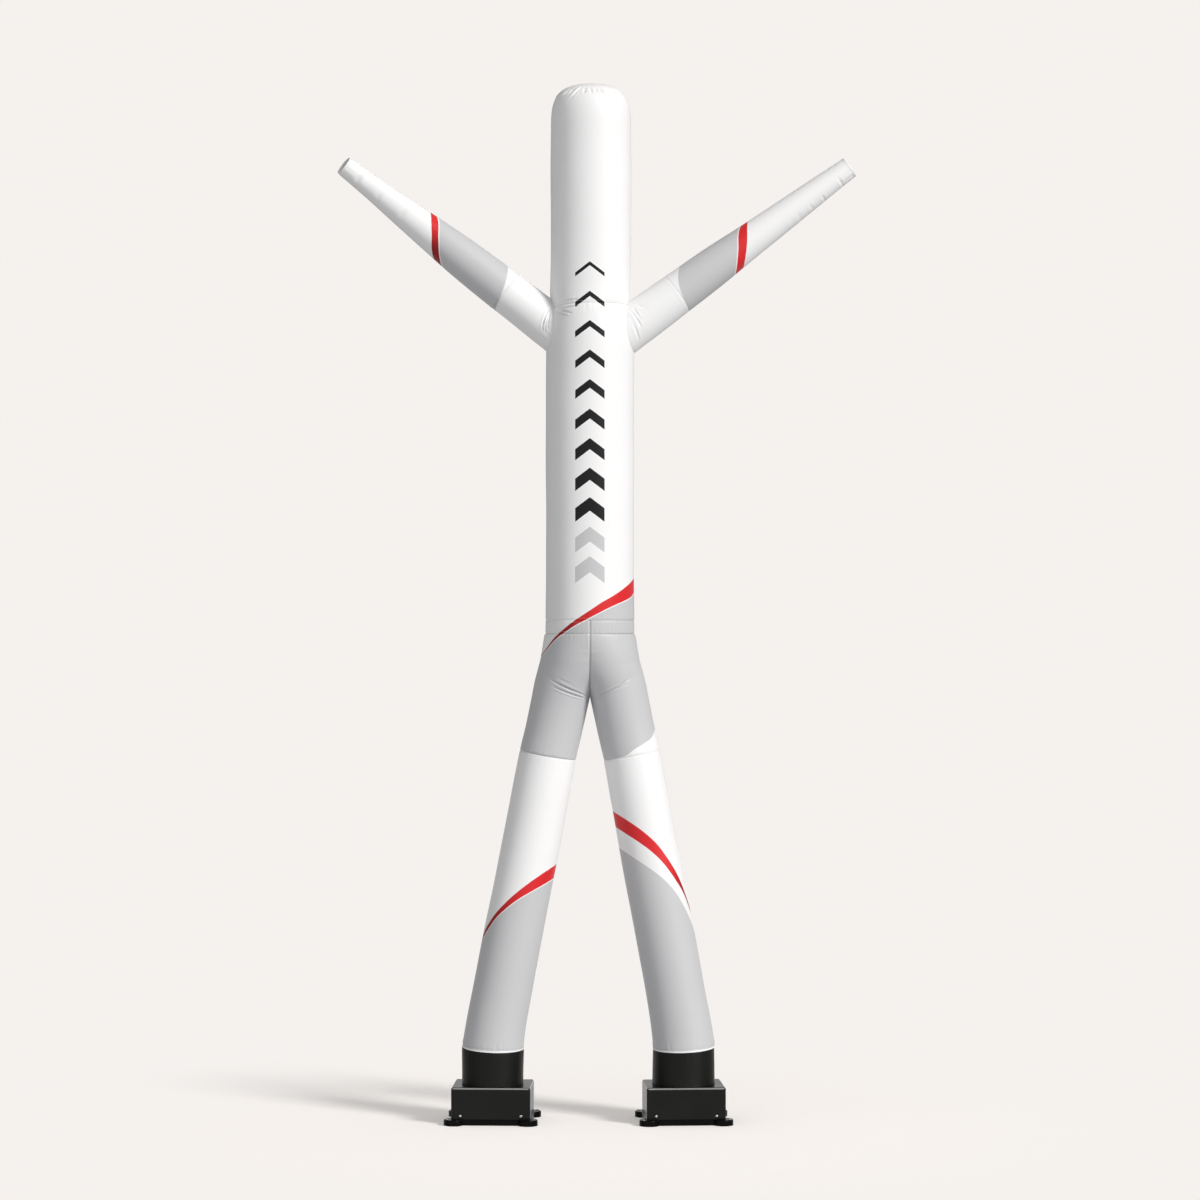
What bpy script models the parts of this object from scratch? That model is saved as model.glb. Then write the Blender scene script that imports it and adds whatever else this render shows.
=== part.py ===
"""Two-legged inflatable dancer, 6 m tall, standing on two box blowers.

Metres, +Z up, the floor at z = 0. The dancer faces -Y, its arms and legs spread along X, and
"left" is the -X side. Each piece that a maker would cut, sew or fit is one closed solid. Cloth
is a thin wall on the inflated shape: its rings of points follow the seams and the main folds.
"""

import math

import bmesh
import bpy
from mathutils import Matrix, Vector

# Sheet, gaps and how finely the round pieces are drawn.
CLOTH = 0.002
GAP = 0.0003
BODY_SIDES = 36
LEG_SIDES = 26
ARM_SIDES = 24

# The trunk stands a little left of the middle, because the right arm reaches further, and
# the feet's middle drifts a little further left on the way down from the crotch.
TRUNK_X = -0.044
CROTCH_Z = 2.447
FOOT_DRIFT = -0.010

# Seam heights on the body, and the lean of the neck seam.
WAIST_LOW_Z = 2.817
WAIST_HIGH_Z = 2.895
NECK_Z = 4.702
CAP_SEAM_Z = 5.930
NECK_SLOPE_X = 0.031
NECK_SLOPE_Y = -0.045
NECK_SPREAD = 0.10

# Blower boxes.
FOOT_X = 0.552
BOX_SIZE = (0.455, 0.380)
BOX_TOP_Z = 0.216
BOX_EDGE = 0.012
TOE_OUT = {"left": 2.2, "right": 3.5}
PLATE_THICK = 0.034
PLATE_MARGIN = 0.007
PLATE_EDGE = 0.006
EAR_RADIUS = 0.058
EAR_INSET = (0.022, 0.019)
EAR_STEPS = 7
EAR_SCREW_OUT = (0.019, 0.014)
COLLAR_RADIUS = 0.1742
COLLAR_WALL = 0.007
COLLAR_HEIGHT = 0.050
OUTLET_DEPTH = 0.110
BOSS_RADIUS = 0.015
BOSS_PROUD = 0.003
BOSS_SIDES = 12
CUTTER_OVERLAP = 0.010
FACE_SCREW_X = 0.174
FACE_SCREW_Z = 0.054
SCREW_RADIUS = 0.0075
SCREW_HEAD = 0.004
SCREW_RIM = 0.0015
SCREW_SIDES = 8
CUFF_RADIUS = 0.178

# Trunk, from the waist to the neck: height, radius at the sides, radius at front and back.
TRUNK_ROWS = (
    (WAIST_HIGH_Z + GAP / 2, 0.2535, 0.2535),
    (2.915, 0.2556, 0.2556),
    (3.200, 0.2544, 0.2544),
    (3.960, 0.2544, 0.2544),
    (3.971, 0.2530, 0.2530),
    (3.982, 0.2544, 0.2544),
    (4.420, 0.2548, 0.2548),
    (4.500, 0.2532, 0.2548),
    (4.560, 0.2470, 0.2535),
    (4.610, 0.2405, 0.2515),
    (4.650, 0.2345, 0.2485),
    (4.680, 0.2285, 0.2440),
    (NECK_Z - GAP / 2, 0.2215, 0.2330),
)

# Head, from the neck to the gathered seam: the same columns.
HEAD_ROWS = (
    (NECK_Z + GAP / 2, 0.2215, 0.2330),
    (4.724, 0.2262, 0.2365),
    (4.760, 0.2300, 0.2350),
    (4.830, 0.2327, 0.2327),
    (5.300, 0.2327, 0.2327),
    (5.770, 0.2325, 0.2325),
    (5.838, 0.2280, 0.2280),
    (5.886, 0.2165, 0.2165),
    (5.915, 0.2020, 0.2020),
    (CAP_SEAM_Z - GAP / 2, 0.1880, 0.1880),
)

# Cap, from the gathered seam inwards: the same columns.
CAP_ROWS = (
    (CAP_SEAM_Z + GAP / 2, 0.1878, 0.1878),
    (5.944, 0.1790, 0.1790),
    (5.962, 0.1560, 0.1560),
    (5.977, 0.1220, 0.1220),
    (5.987, 0.0780, 0.0780),
    (5.991, 0.0330, 0.0330),
)
CAP_TOP_Z = 5.992

# The rows between which the arms leave the body.
SHOULDER_ROWS = TRUNK_ROWS[6:] + HEAD_ROWS[1:6]

# Gathers of the cap's seam: how many, how deep, and how far they reach up and down.
GATHERS = 9
GATHER_DEPTH = 0.006
GATHER_SPREAD = 0.030

# Hips above the crotch: height at the centre seam, height at the outer side, outer half
# width, depth from the middle to the front, and how far the two halves have parted.
HIP_ROWS = (
    (WAIST_LOW_Z - GAP / 2, WAIST_LOW_Z - GAP / 2, 0.2590, 0.2535, 0.00),
    (2.800, 2.802, 0.2640, 0.2560, 0.03),
    (2.740, 2.755, 0.2717, 0.2505, 0.17),
    (2.664, 2.700, 0.2800, 0.2390, 0.36),
    (2.590, 2.665, 0.2860, 0.2240, 0.56),
    (2.520, 2.635, 0.2938, 0.2090, 0.80),
    (2.474, 2.617, 0.2986, 0.2000, 0.94),
)

# The waist band above the hips: the same columns.
BAND_ROWS = (
    (WAIST_LOW_Z + GAP / 2, WAIST_LOW_Z + GAP / 2, 0.2590, 0.2535, 0.0),
    (2.856, 2.856, 0.2575, 0.2560, 0.0),
    (WAIST_HIGH_Z - GAP / 2, WAIST_HIGH_Z - GAP / 2, 0.2535, 0.2535, 0.0),
)

# Thighs from the crotch down: height and half width at the inner line, the same at the outer
# line, depth, and the crease's depth on the left and on the right thigh (under 0 is a ridge).
THIGH_ROWS = (
    (CROTCH_Z, 0.0010, 2.599, 0.3034, 0.1930, 0.011, 0.007),
    (2.437, 0.0026, 2.583, 0.3080, 0.1915, -0.002, -0.001),
    (2.426, 0.0050, 2.567, 0.3122, 0.1900, 0.009, 0.006),
    (2.410, 0.0085, 2.548, 0.3172, 0.1875, -0.002, 0.000),
    (2.330, 0.0260, 2.440, 0.3398, 0.1770, 0.000, 0.000),
    (2.190, 0.0575, 2.262, 0.3765, 0.1680, 0.000, 0.000),
    (2.100, 0.0790, 2.158, 0.4005, 0.1665, 0.000, 0.000),
    (2.086 + GAP / 2, 0.0835, 2.144 + GAP / 2, 0.4018, 0.1645, 0.000, 0.000),
)
CREASE_FRONT = (-150.0, -55.0)
CREASE_BACK_SHARE = 0.6

# Legs below the shorts: centre from the middle, height, radius, tilt of the ring in degrees,
# and the depth of the small gathers above the hem.
LEG_ROWS = (
    (0.2427, 2.115 - GAP / 2, 0.1620, 10.3, 0.0),
    (0.2470, 2.092, 0.1650, 10.8, 0.0),
    (0.3440, 1.565, 0.1672, 11.1, 0.0),
    (0.4567, 0.987, 0.1695, 11.0, 0.0),
    (0.5103, 0.698, 0.1708, 10.2, 0.0),
    (0.5310, 0.583, 0.1728, 8.8, 0.0),
    (0.5450, 0.490, 0.1755, 5.5, 0.0),
    (0.5500, 0.447, 0.1780, 3.0, 0.0025),
    (0.5515, 0.4238, 0.1768, 2.1, 0.0),
)
HEM_LEAN = 0.056

# Cuffs: how far down from the hem to the blower's top, and the radius there.
CUFF_ROWS = ((0.0, 0.1765), (0.12, 0.1778), (0.60, 0.1772), (1.0, CUFF_RADIUS))

# Arms: where the axis leaves the trunk, from the trunk's centre line, its rise and its lean
# backwards in degrees, and its length. Each row of radii is a share of the length, a radius,
# a crease's depth, and the angle about the arm where the crease lies, in degrees. The front
# is at -90 on both arms, and 0 is the left arm's upper side but the right arm's under side.
ARMS = {
    "left": {
        "root": (-0.260, 4.618),
        "rise": 37.9,
        "back": 0.0,
        "length": 1.467,
        "radii": (
            (0.000, 0.1280, 0.000, 0),
            (0.125, 0.1250, 0.000, 0),
            (0.1950, 0.1232, 0.000, 0),
            (0.2150, 0.1238, 0.000, 0),
            (0.400, 0.1165, 0.000, 0),
            (0.550, 0.1020, 0.000, 0),
            (0.700, 0.0855, 0.000, 0),
            (0.820, 0.0722, 0.002, -130),
            (0.850, 0.0697, 0.000, 0),
            (0.905, 0.0659, 0.000, 0),
            (0.927, 0.0644, 0.004, -125),
            (0.949, 0.0629, 0.000, 0),
            (0.985, 0.0600, 0.000, 0),
            (1.000, 0.0545, 0.000, 0),
        ),
    },
    "right": {
        "root": (0.266, 4.607),
        "rise": 36.4,
        "back": 4.0,
        "length": 1.5435,
        "radii": (
            (0.000, 0.1275, 0.000, 0),
            (0.125, 0.1250, 0.000, 0),
            (0.1890, 0.1212, 0.000, 0),
            (0.2080, 0.1225, 0.000, 0),
            (0.350, 0.1145, 0.000, 0),
            (0.520, 0.1000, 0.000, 0),
            (0.700, 0.0868, 0.000, 0),
            (0.820, 0.0778, 0.000, 0),
            (0.845, 0.0755, 0.004, -10),
            (0.870, 0.0738, 0.000, 0),
            (0.930, 0.0675, 0.000, 0),
            (0.948, 0.0660, 0.006, 0),
            (0.966, 0.0648, 0.000, 0),
            (1.000, 0.0615, 0.005, -70),
        ),
    },
}
ARM_SEAM_ROW = 2
ARM_CREASE_SPREAD = 70
ARM_HOLE_RADIUS = 0.1205
ARM_HOLE_ENDS = (-0.16, 0.20)
SHOULDER_SEARCH = (-0.20, 0.12)
SHOULDER_ERROR = 1e-5

# Arm roots, row by row from the shoulder seam: how far the ring has turned from the seam's
# curve to a flat ring, its distance past the seam, and the depth of the crease on it.
ROOT_ROWS = (
    (0.00, -0.012, 0.0),
    (0.00, 0.012, 0.0),
    (0.00, 0.026, 0.006),
    (0.02, 0.039, -0.001),
    (0.05, 0.052, 0.007),
    (0.10, 0.066, 0.0),
    (0.45, 0.040, 0.0),
    (1.00, 0.000, 0.0),
)
ROOT_CREASE_SIDE = -95
ROOT_CREASE_SPREAD = 60

# Colour, roughness and metallic value of each material.
FINISHES = {
    "printed_nylon": ((0.86, 0.86, 0.87), 0.55, 0.0),
    "cuff_cloth": ((0.013, 0.014, 0.012), 0.45, 0.0),
    "housing_plastic": ((0.016, 0.017, 0.015), 0.35, 0.0),
    "screw_steel": ((0.70, 0.70, 0.68), 0.28, 1.0),
}


def clear_scene():
    for obj in list(bpy.data.objects):
        bpy.data.objects.remove(obj, do_unlink=True)


def material(name):
    """The Principled material of this name, made on first use."""
    found = bpy.data.materials.get(name)
    if found:
        return found
    colour, roughness, metallic = FINISHES[name]
    made = bpy.data.materials.new(name)
    made.use_nodes = True
    shader = made.node_tree.nodes["Principled BSDF"]
    shader.inputs["Base Color"].default_value = (*colour, 1.0)
    shader.inputs["Roughness"].default_value = roughness
    shader.inputs["Metallic"].default_value = metallic
    made.diffuse_color = (*colour, 1.0)
    return made


def new_object(name, bm, finish, smooth=True):
    """A linked object from a bmesh, with its material and shading."""
    mesh = bpy.data.meshes.new(name)
    bm.to_mesh(mesh)
    bm.free()
    if smooth:
        mesh.shade_smooth()
        mesh.set_sharp_from_angle(angle=math.radians(40))
    mesh.materials.append(material(finish))
    obj = bpy.data.objects.new(name, mesh)
    bpy.context.scene.collection.objects.link(obj)
    return obj


def skin(rings, closed=lambda band: True, top=None):
    """A bmesh of quads between rings that run anticlockwise about the way they are stacked.

    closed says for each band whether its last point joins its first. top is a point that
    closes the last ring with a fan.
    """
    bm = bmesh.new()
    grid = [[bm.verts.new(point) for point in ring] for ring in rings]
    for band, (low, high) in enumerate(zip(grid, grid[1:])):
        count = len(low)
        for here in range(count if closed(band) else count - 1):
            after = (here + 1) % count
            bm.faces.new((low[here], low[after], high[after], high[here]))
    if top is not None:
        peak = bm.verts.new(top)
        rim = grid[-1]
        for here in range(len(rim)):
            bm.faces.new((rim[here], rim[(here + 1) % len(rim)], peak))
    return bm


def sew(name, rings, finish="printed_nylon", **how):
    """A piece of cloth: the skin over its rings, thickened inwards."""
    obj = new_object(name, skin(rings, **how), finish)
    wall = obj.modifiers.new("Cloth", "SOLIDIFY")
    wall.thickness = CLOTH
    wall.offset = -1.0
    wall.use_even_offset = True
    return obj


def solid(name, rings):
    """A hidden closed solid over rings, used as a cutter."""
    bm = skin(rings)
    bmesh.ops.holes_fill(bm, edges=bm.edges)
    bmesh.ops.recalc_face_normals(bm, faces=bm.faces)
    obj = new_object(name, bm, "printed_nylon", smooth=False)
    hide(obj)
    return obj


def hide(obj):
    obj.hide_render = True
    obj.display_type = "WIRE"


def boolean(obj, operation, other):
    cut = obj.modifiers.new(other.name, "BOOLEAN")
    cut.operation = operation
    cut.solver = "EXACT"
    cut.object = other


def bump(angle, middle, spread):
    """A soft hill over an angle, 1 in the middle and 0 past the spread, all in degrees."""
    away = (angle - middle + 180) % 360 - 180
    if abs(away) >= spread:
        return 0.0
    return math.cos(math.pi / 2 * away / spread) ** 2


# The body: head, cap and trunk.


def gather(angle, height):
    """How far the gathers at the cap's seam draw the cloth in, uneven round the head."""
    near = math.exp(-(((height - CAP_SEAM_Z) / GATHER_SPREAD) ** 2))
    uneven = 0.65 + 0.35 * math.sin(2 * angle + 0.8)
    return GATHER_DEPTH * near * uneven * (0.5 + 0.5 * math.cos(GATHERS * angle))


def body_ring(row, grow=0.0):
    """One ring of the body, leaning with the neck seam where it is near."""
    height, side_radius, front_radius = row
    lean = math.exp(-(((height - NECK_Z) / NECK_SPREAD) ** 2))
    points = []
    for step in range(BODY_SIDES):
        angle = math.tau * step / BODY_SIDES
        sideways = math.cos(angle) ** 2
        radius = front_radius + (side_radius - front_radius) * sideways
        radius += grow - gather(angle, height)
        x, y = radius * math.cos(angle), radius * math.sin(angle)
        lift = lean * (NECK_SLOPE_X * x + NECK_SLOPE_Y * y)
        points.append(Vector((TRUNK_X + x, y, height + lift)))
    return points


def body_radius(angle, height):
    """The body's outer radius between its rows, for an angle about its centre line."""
    rows = TRUNK_ROWS + HEAD_ROWS
    low, high = next(pair for pair in zip(rows, rows[1:]) if pair[1][0] >= height)
    share = (height - low[0]) / (high[0] - low[0])
    side_radius = low[1] + share * (high[1] - low[1])
    front_radius = low[2] + share * (high[2] - low[2])
    return front_radius + (side_radius - front_radius) * math.cos(angle) ** 2


def make_body():
    trunk = sew("trunk_tube", [body_ring(row) for row in TRUNK_ROWS])
    head = sew("head_tube", [body_ring(row) for row in HEAD_ROWS])
    crown = Vector((TRUNK_X, 0.0, CAP_TOP_Z))
    sew("head_cap", [body_ring(row) for row in CAP_ROWS], top=crown)
    return trunk, head


# The waist band, the shorts, the legs and their cuffs.


def side_sign(side):
    return -1.0 if side == "left" else 1.0


def leg_middle(height):
    """Where the middle between the legs lies at a height."""
    return TRUNK_X + FOOT_DRIFT * max(0.0, 1.0 - height / CROTCH_Z)


def mirrored(points, side):
    """Points of a right-hand ring, or its mirror image in the same turning sense."""
    if side == "right":
        return points
    return [Vector((2 * leg_middle(p.z) - p.x, p.y, p.z)) for p in reversed(points)]


def split_ring(side, inner, outer, depth, crease=0.0):
    """A slanted ring of one hip or thigh, from its inner line to its outer line.

    inner and outer are a half width and a height. Where the inner half width is under 0 the
    ring is cut open at the centre seam.
    """
    centre = (inner[0] + outer[0]) / 2
    half = (outer[0] - inner[0]) / 2
    open_turn = math.acos(max(-1.0, min(1.0, -centre / half)))
    turn = min(open_turn, math.pi * (1 - 1 / LEG_SIDES))
    start = max(inner[0], 0.0)
    points = []
    for step in range(LEG_SIDES):
        angle = turn * (2 * step / (LEG_SIDES - 1) - 1)
        reach = Vector((half * math.cos(angle), depth * math.sin(angle)))
        reach *= 1 - crease * crease_weight(math.degrees(angle)) / reach.length
        width = max(centre + reach.x, GAP / 2)
        height = inner[1] + (outer[1] - inner[1]) * (width - start) / (outer[0] - start)
        points.append(Vector((leg_middle(height) + width, reach.y, height)))
    return mirrored(points, side)


def crease_weight(angle):
    """1 in the middle of the crotch crease in front, less behind, and 0 away from both."""
    first, last = CREASE_FRONT
    middle, spread = (first + last) / 2, (last - first) / 2
    return bump(angle, middle, spread) + CREASE_BACK_SHARE * bump(angle, -middle, spread)


def hip_ring(side, row):
    seam_z, outer_z, width, depth, parting = row
    inner_width = -width * (1 - parting) / (1 + parting)
    return split_ring(side, (inner_width, seam_z), (width, outer_z), depth)


def thigh_ring(side, row):
    inner_z, inner_width, outer_z, outer_width, depth, left_crease, right_crease = row
    crease = left_crease if side == "left" else right_crease
    return split_ring(side, (inner_width, inner_z), (outer_width, outer_z), depth, crease)


def leg_ring(side, row, lean=0.0):
    """A ring of the leg, tilted outwards and, at the hem, forwards."""
    centre, height, radius, tilt, gathers = row
    slope = math.radians(tilt)
    points = []
    for step in range(LEG_SIDES):
        angle = math.pi * (2 * (step + 0.5) / LEG_SIDES - 1)
        reach = radius - (gathers if step % 2 else 0.0)
        along, y = reach * math.cos(angle), reach * math.sin(angle)
        z = height + along * math.sin(slope) + lean * y
        points.append(Vector((leg_middle(z) + centre + along * math.cos(slope), y, z)))
    return mirrored(points, side)


def make_lower_body(side):
    rings = [hip_ring(side, row) for row in BAND_ROWS]
    sew(f"waist_band_{side}", rings, closed=lambda band: False)

    rings = [thigh_ring(side, row) for row in reversed(THIGH_ROWS)]
    rings += [hip_ring(side, row) for row in reversed(HIP_ROWS)]
    whole_bands = len(THIGH_ROWS) - 1
    sew(f"shorts_{side}", rings, closed=lambda band: band < whole_bands)

    last = len(LEG_ROWS) - 1
    leans = [HEM_LEAN * max(0.0, 1 - (last - k) / 3) for k in range(last + 1)]
    rings = [leg_ring(side, row, lean) for row, lean in zip(LEG_ROWS, leans)]
    sew(f"leg_{side}", rings[::-1])
    make_cuff(side, rings[-1])


def make_cuff(side, hem):
    """The black cuff, from the tilted hem down to the flat top of the blower."""
    centre_x = leg_middle(0.0) + side_sign(side) * FOOT_X
    floor_z = BOX_TOP_Z + GAP
    rings = []
    for share, radius in CUFF_ROWS:
        ring = []
        for point in hem:
            flat = Vector((point.x - centre_x, point.y)).normalized() * radius
            z = (point.z - GAP) * (1 - share) + floor_z * share
            ring.append(Vector((centre_x + flat.x, flat.y, z)))
        rings.append(ring)
    sew(f"cuff_{side}", rings[::-1], "cuff_cloth")


# The arms.


class ArmFrame:
    """An arm's axis, the two directions across it, and its table of radii."""

    def __init__(self, side):
        arm = ARMS[side]
        rise, back = math.radians(arm["rise"]), math.radians(arm["back"])
        x = side_sign(side) * math.cos(rise) * math.cos(back)
        self.axis = Vector((x, math.sin(back) * math.cos(rise), math.sin(rise)))
        self.origin = Vector((TRUNK_X + arm["root"][0], 0.0, arm["root"][1]))
        self.across = (Vector((0, 1, 0)) - self.axis * self.axis.y).normalized()
        self.up = self.across.cross(self.axis)
        self.length = arm["length"]
        self.radii = arm["radii"]
        self.seam = self.radii[ARM_SEAM_ROW][0] * self.length

    def point(self, distance, radius, angle):
        """A point at a distance along the axis, at an angle in degrees about it."""
        turn = math.radians(angle)
        spoke = self.up * math.cos(turn) + self.across * math.sin(turn)
        return self.origin + self.axis * distance + spoke * radius

    def radius(self, distance):
        share = max(0.0, min(1.0, distance / self.length))
        low, high = next(p for p in zip(self.radii, self.radii[1:]) if p[1][0] >= share)
        part = (share - low[0]) / (high[0] - low[0])
        return low[1] + part * (high[1] - low[1])

    def shoulder(self, angle):
        """The distance at which the arm's line at this angle comes out of the body."""
        inside, outside = SHOULDER_SEARCH
        while outside - inside > SHOULDER_ERROR:
            distance = (inside + outside) / 2
            point = self.point(distance, self.radius(distance), angle)
            x, y = point.x - TRUNK_X, point.y
            if math.hypot(x, y) < body_radius(math.atan2(y, x), point.z):
                inside = distance
            else:
                outside = distance
        return outside


def arm_angles():
    return [360 * step / ARM_SIDES for step in range(ARM_SIDES)]


def root_ring(frame, row):
    turned, past_seam, crease = row
    points = []
    for angle in arm_angles():
        distance = frame.shoulder(angle) * (1 - turned) + frame.seam * turned + past_seam
        depth = crease * bump(angle, ROOT_CREASE_SIDE, ROOT_CREASE_SPREAD)
        points.append(frame.point(distance, frame.radius(distance) - depth, angle))
    return points


def sleeve_ring(frame, row, shift=0.0):
    share, radius, crease, crease_side = row
    return [
        frame.point(
            share * frame.length + shift,
            radius - crease * bump(angle, crease_side, ARM_CREASE_SPREAD),
            angle,
        )
        for angle in arm_angles()
    ]


def make_arm(side, trunk, head, body_core):
    frame = ArmFrame(side)
    root = sew(f"arm_root_{side}", [root_ring(frame, row) for row in ROOT_ROWS])
    boolean(root, "DIFFERENCE", body_core)

    rows = frame.radii[ARM_SEAM_ROW:]
    rings = [sleeve_ring(frame, rows[0], shift=GAP)]
    rings += [sleeve_ring(frame, row) for row in rows[1:]]
    sew(f"arm_sleeve_{side}", rings)

    rings = [
        [frame.point(end, ARM_HOLE_RADIUS, angle) for angle in arm_angles()]
        for end in ARM_HOLE_ENDS
    ]
    cutter = solid(f"arm_hole_{side}", rings)
    boolean(trunk, "DIFFERENCE", cutter)
    boolean(head, "DIFFERENCE", cutter)


# The blowers.


def box_matrix(side):
    """Where a blower stands: its middle on the floor, toed out."""
    turn = math.radians(side_sign(side) * TOE_OUT[side])
    x = leg_middle(0.0) + side_sign(side) * FOOT_X
    return Matrix.Translation((x, 0.0, 0.0)) @ Matrix.Rotation(turn, 4, "Z")


def corner_name(side, sx, sy):
    """Names a corner of a blower: front or back, and in towards the other blower or out."""
    inwards = sx * side_sign(side) < 0
    return f"{side}_{'front' if sy < 0 else 'back'}_{'in' if inwards else 'out'}"


def cylinder(name, radius, low, high, finish, sides=LEG_SIDES, matrix=Matrix()):
    bm = bmesh.new()
    middle = Matrix.Translation((0, 0, (low + high) / 2))
    bmesh.ops.create_cone(
        bm, cap_ends=True, segments=sides, radius1=radius, radius2=radius,
        depth=high - low, matrix=matrix @ middle,
    )
    return new_object(name, bm, finish)


def make_housing(side):
    width, depth = BOX_SIZE
    low = PLATE_THICK + GAP
    bm = bmesh.new()
    size = Matrix.Diagonal((width, depth, BOX_TOP_Z - low, 1))
    middle = Matrix.Translation((0, 0, (BOX_TOP_Z + low) / 2))
    bmesh.ops.create_cube(bm, size=1.0, matrix=middle @ size)
    top_and_sides = [e for e in bm.edges if max(v.co.z for v in e.verts) > low + GAP]
    bmesh.ops.bevel(
        bm, geom=top_and_sides, offset=BOX_EDGE, segments=2, profile=0.5, affect="EDGES"
    )
    housing = new_object(f"housing_{side}", bm, "housing_plastic")
    housing.matrix_world = box_matrix(side)

    collar_low = BOX_TOP_Z - OUTLET_DEPTH / 2
    collar_high = BOX_TOP_Z + COLLAR_HEIGHT
    collar = cylinder(
        f"collar_{side}", COLLAR_RADIUS, collar_low, collar_high, "housing_plastic"
    )
    bore_radius = COLLAR_RADIUS - COLLAR_WALL
    bore_low = BOX_TOP_Z - OUTLET_DEPTH
    bore = cylinder(
        f"bore_{side}", bore_radius, bore_low, collar_high + CUTTER_OVERLAP, "housing_plastic"
    )
    for helper, operation in ((collar, "UNION"), (bore, "DIFFERENCE")):
        helper.parent = housing
        hide(helper)
        boolean(housing, operation, helper)
    for face in (-1, 1):
        for end in (-1, 1):
            boss = make_face_screw(side, housing, face, end)
            boolean(housing, "UNION", boss)


def make_face_screw(side, housing, face, end):
    """A screw low on the front or back face; returns the boss that it sits on."""
    turn = Matrix.Rotation(math.radians(90 if face < 0 else -90), 4, "X")
    place = Matrix.Translation((end * FACE_SCREW_X, face * BOX_SIZE[1] / 2, FACE_SCREW_Z))
    label = corner_name(side, end, face)
    matrix = place @ turn
    boss = cylinder(
        f"boss_{label}", BOSS_RADIUS, -CUTTER_OVERLAP, BOSS_PROUD, "housing_plastic",
        BOSS_SIDES, matrix,
    )
    boss.parent = housing
    hide(boss)
    low = BOSS_PROUD + GAP
    screw = make_screw(f"face_screw_{label}", low, matrix)
    screw.parent = housing
    return boss


def make_screw(name, low, matrix):
    """A round screw head with a bevelled rim."""
    high = low + SCREW_HEAD
    screw = cylinder(name, SCREW_RADIUS, low, high, "screw_steel", SCREW_SIDES, matrix)
    rim = screw.modifiers.new("Rim", "BEVEL")
    rim.width = SCREW_RIM
    rim.segments = 1
    rim.limit_method = "ANGLE"
    return screw


def plate_outline():
    """The base plate seen from above: straight sides and a round ear at each corner."""
    # Where the ear's circle crosses the plate's sides, measured from its diagonal.
    past_side = math.degrees(math.acos(EAR_INSET[0] / EAR_RADIUS))
    past_front = math.degrees(math.acos(EAR_INSET[1] / EAR_RADIUS))
    points = []
    for turned, (sx, sy) in enumerate(((1, 1), (-1, 1), (-1, -1), (1, -1))):
        centre = ear_centre(sx, sy)
        before, after = (past_side, past_front) if sx == sy else (past_front, past_side)
        first, last = 90 * turned - before, 90 * turned + 90 + after
        for step in range(EAR_STEPS + 1):
            angle = math.radians(first + (last - first) * step / EAR_STEPS)
            spoke = Vector((math.cos(angle), math.sin(angle), 0.0))
            points.append(centre + spoke * EAR_RADIUS)
    return points


def ear_centre(sx, sy):
    """The middle of the ear at a corner, set in from the plate's sides."""
    x = BOX_SIZE[0] / 2 + PLATE_MARGIN - EAR_INSET[0]
    y = BOX_SIZE[1] / 2 + PLATE_MARGIN - EAR_INSET[1]
    return Vector((sx * x, sy * y, 0.0))


def make_base_plate(side):
    bm = bmesh.new()
    face = bm.faces.new([bm.verts.new(point) for point in plate_outline()])
    raised = bmesh.ops.extrude_face_region(bm, geom=[face])
    top = [item for item in raised["geom"] if isinstance(item, bmesh.types.BMVert)]
    bmesh.ops.translate(bm, verts=top, vec=(0, 0, PLATE_THICK))
    bmesh.ops.recalc_face_normals(bm, faces=bm.faces)
    rim = [e for e in bm.edges if all(v.co.z > PLATE_THICK / 2 for v in e.verts)]
    bmesh.ops.bevel(bm, geom=rim, offset=PLATE_EDGE, segments=2, profile=0.5, affect="EDGES")
    plate = new_object(f"base_plate_{side}", bm, "housing_plastic")
    plate.matrix_world = box_matrix(side)
    for sx in (-1, 1):
        for sy in (-1, 1):
            label = corner_name(side, sx, sy)
            ear_x = sx * (BOX_SIZE[0] / 2 + EAR_SCREW_OUT[0])
            ear_y = sy * (BOX_SIZE[1] / 2 + EAR_SCREW_OUT[1])
            place = Matrix.Translation((ear_x, ear_y, 0.0))
            screw = make_screw(f"ear_screw_{label}", PLATE_THICK + GAP, place)
            screw.parent = plate


def main():
    clear_scene()
    trunk, head = make_body()
    body_core = solid("body_core", [body_ring(row, grow=GAP) for row in SHOULDER_ROWS])
    for side in ("left", "right"):
        make_lower_body(side)
        make_arm(side, trunk, head, body_core)
        make_housing(side)
        make_base_plate(side)


main()
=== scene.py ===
"""The looks of a two-legged inflatable dancer: sewn cloth, print, stitches, blowers and studio."""

import math

import bmesh
import bpy
import numpy as np
from bpy.props import FloatProperty, FloatVectorProperty, PointerProperty
from mathutils import Matrix, Vector


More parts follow.
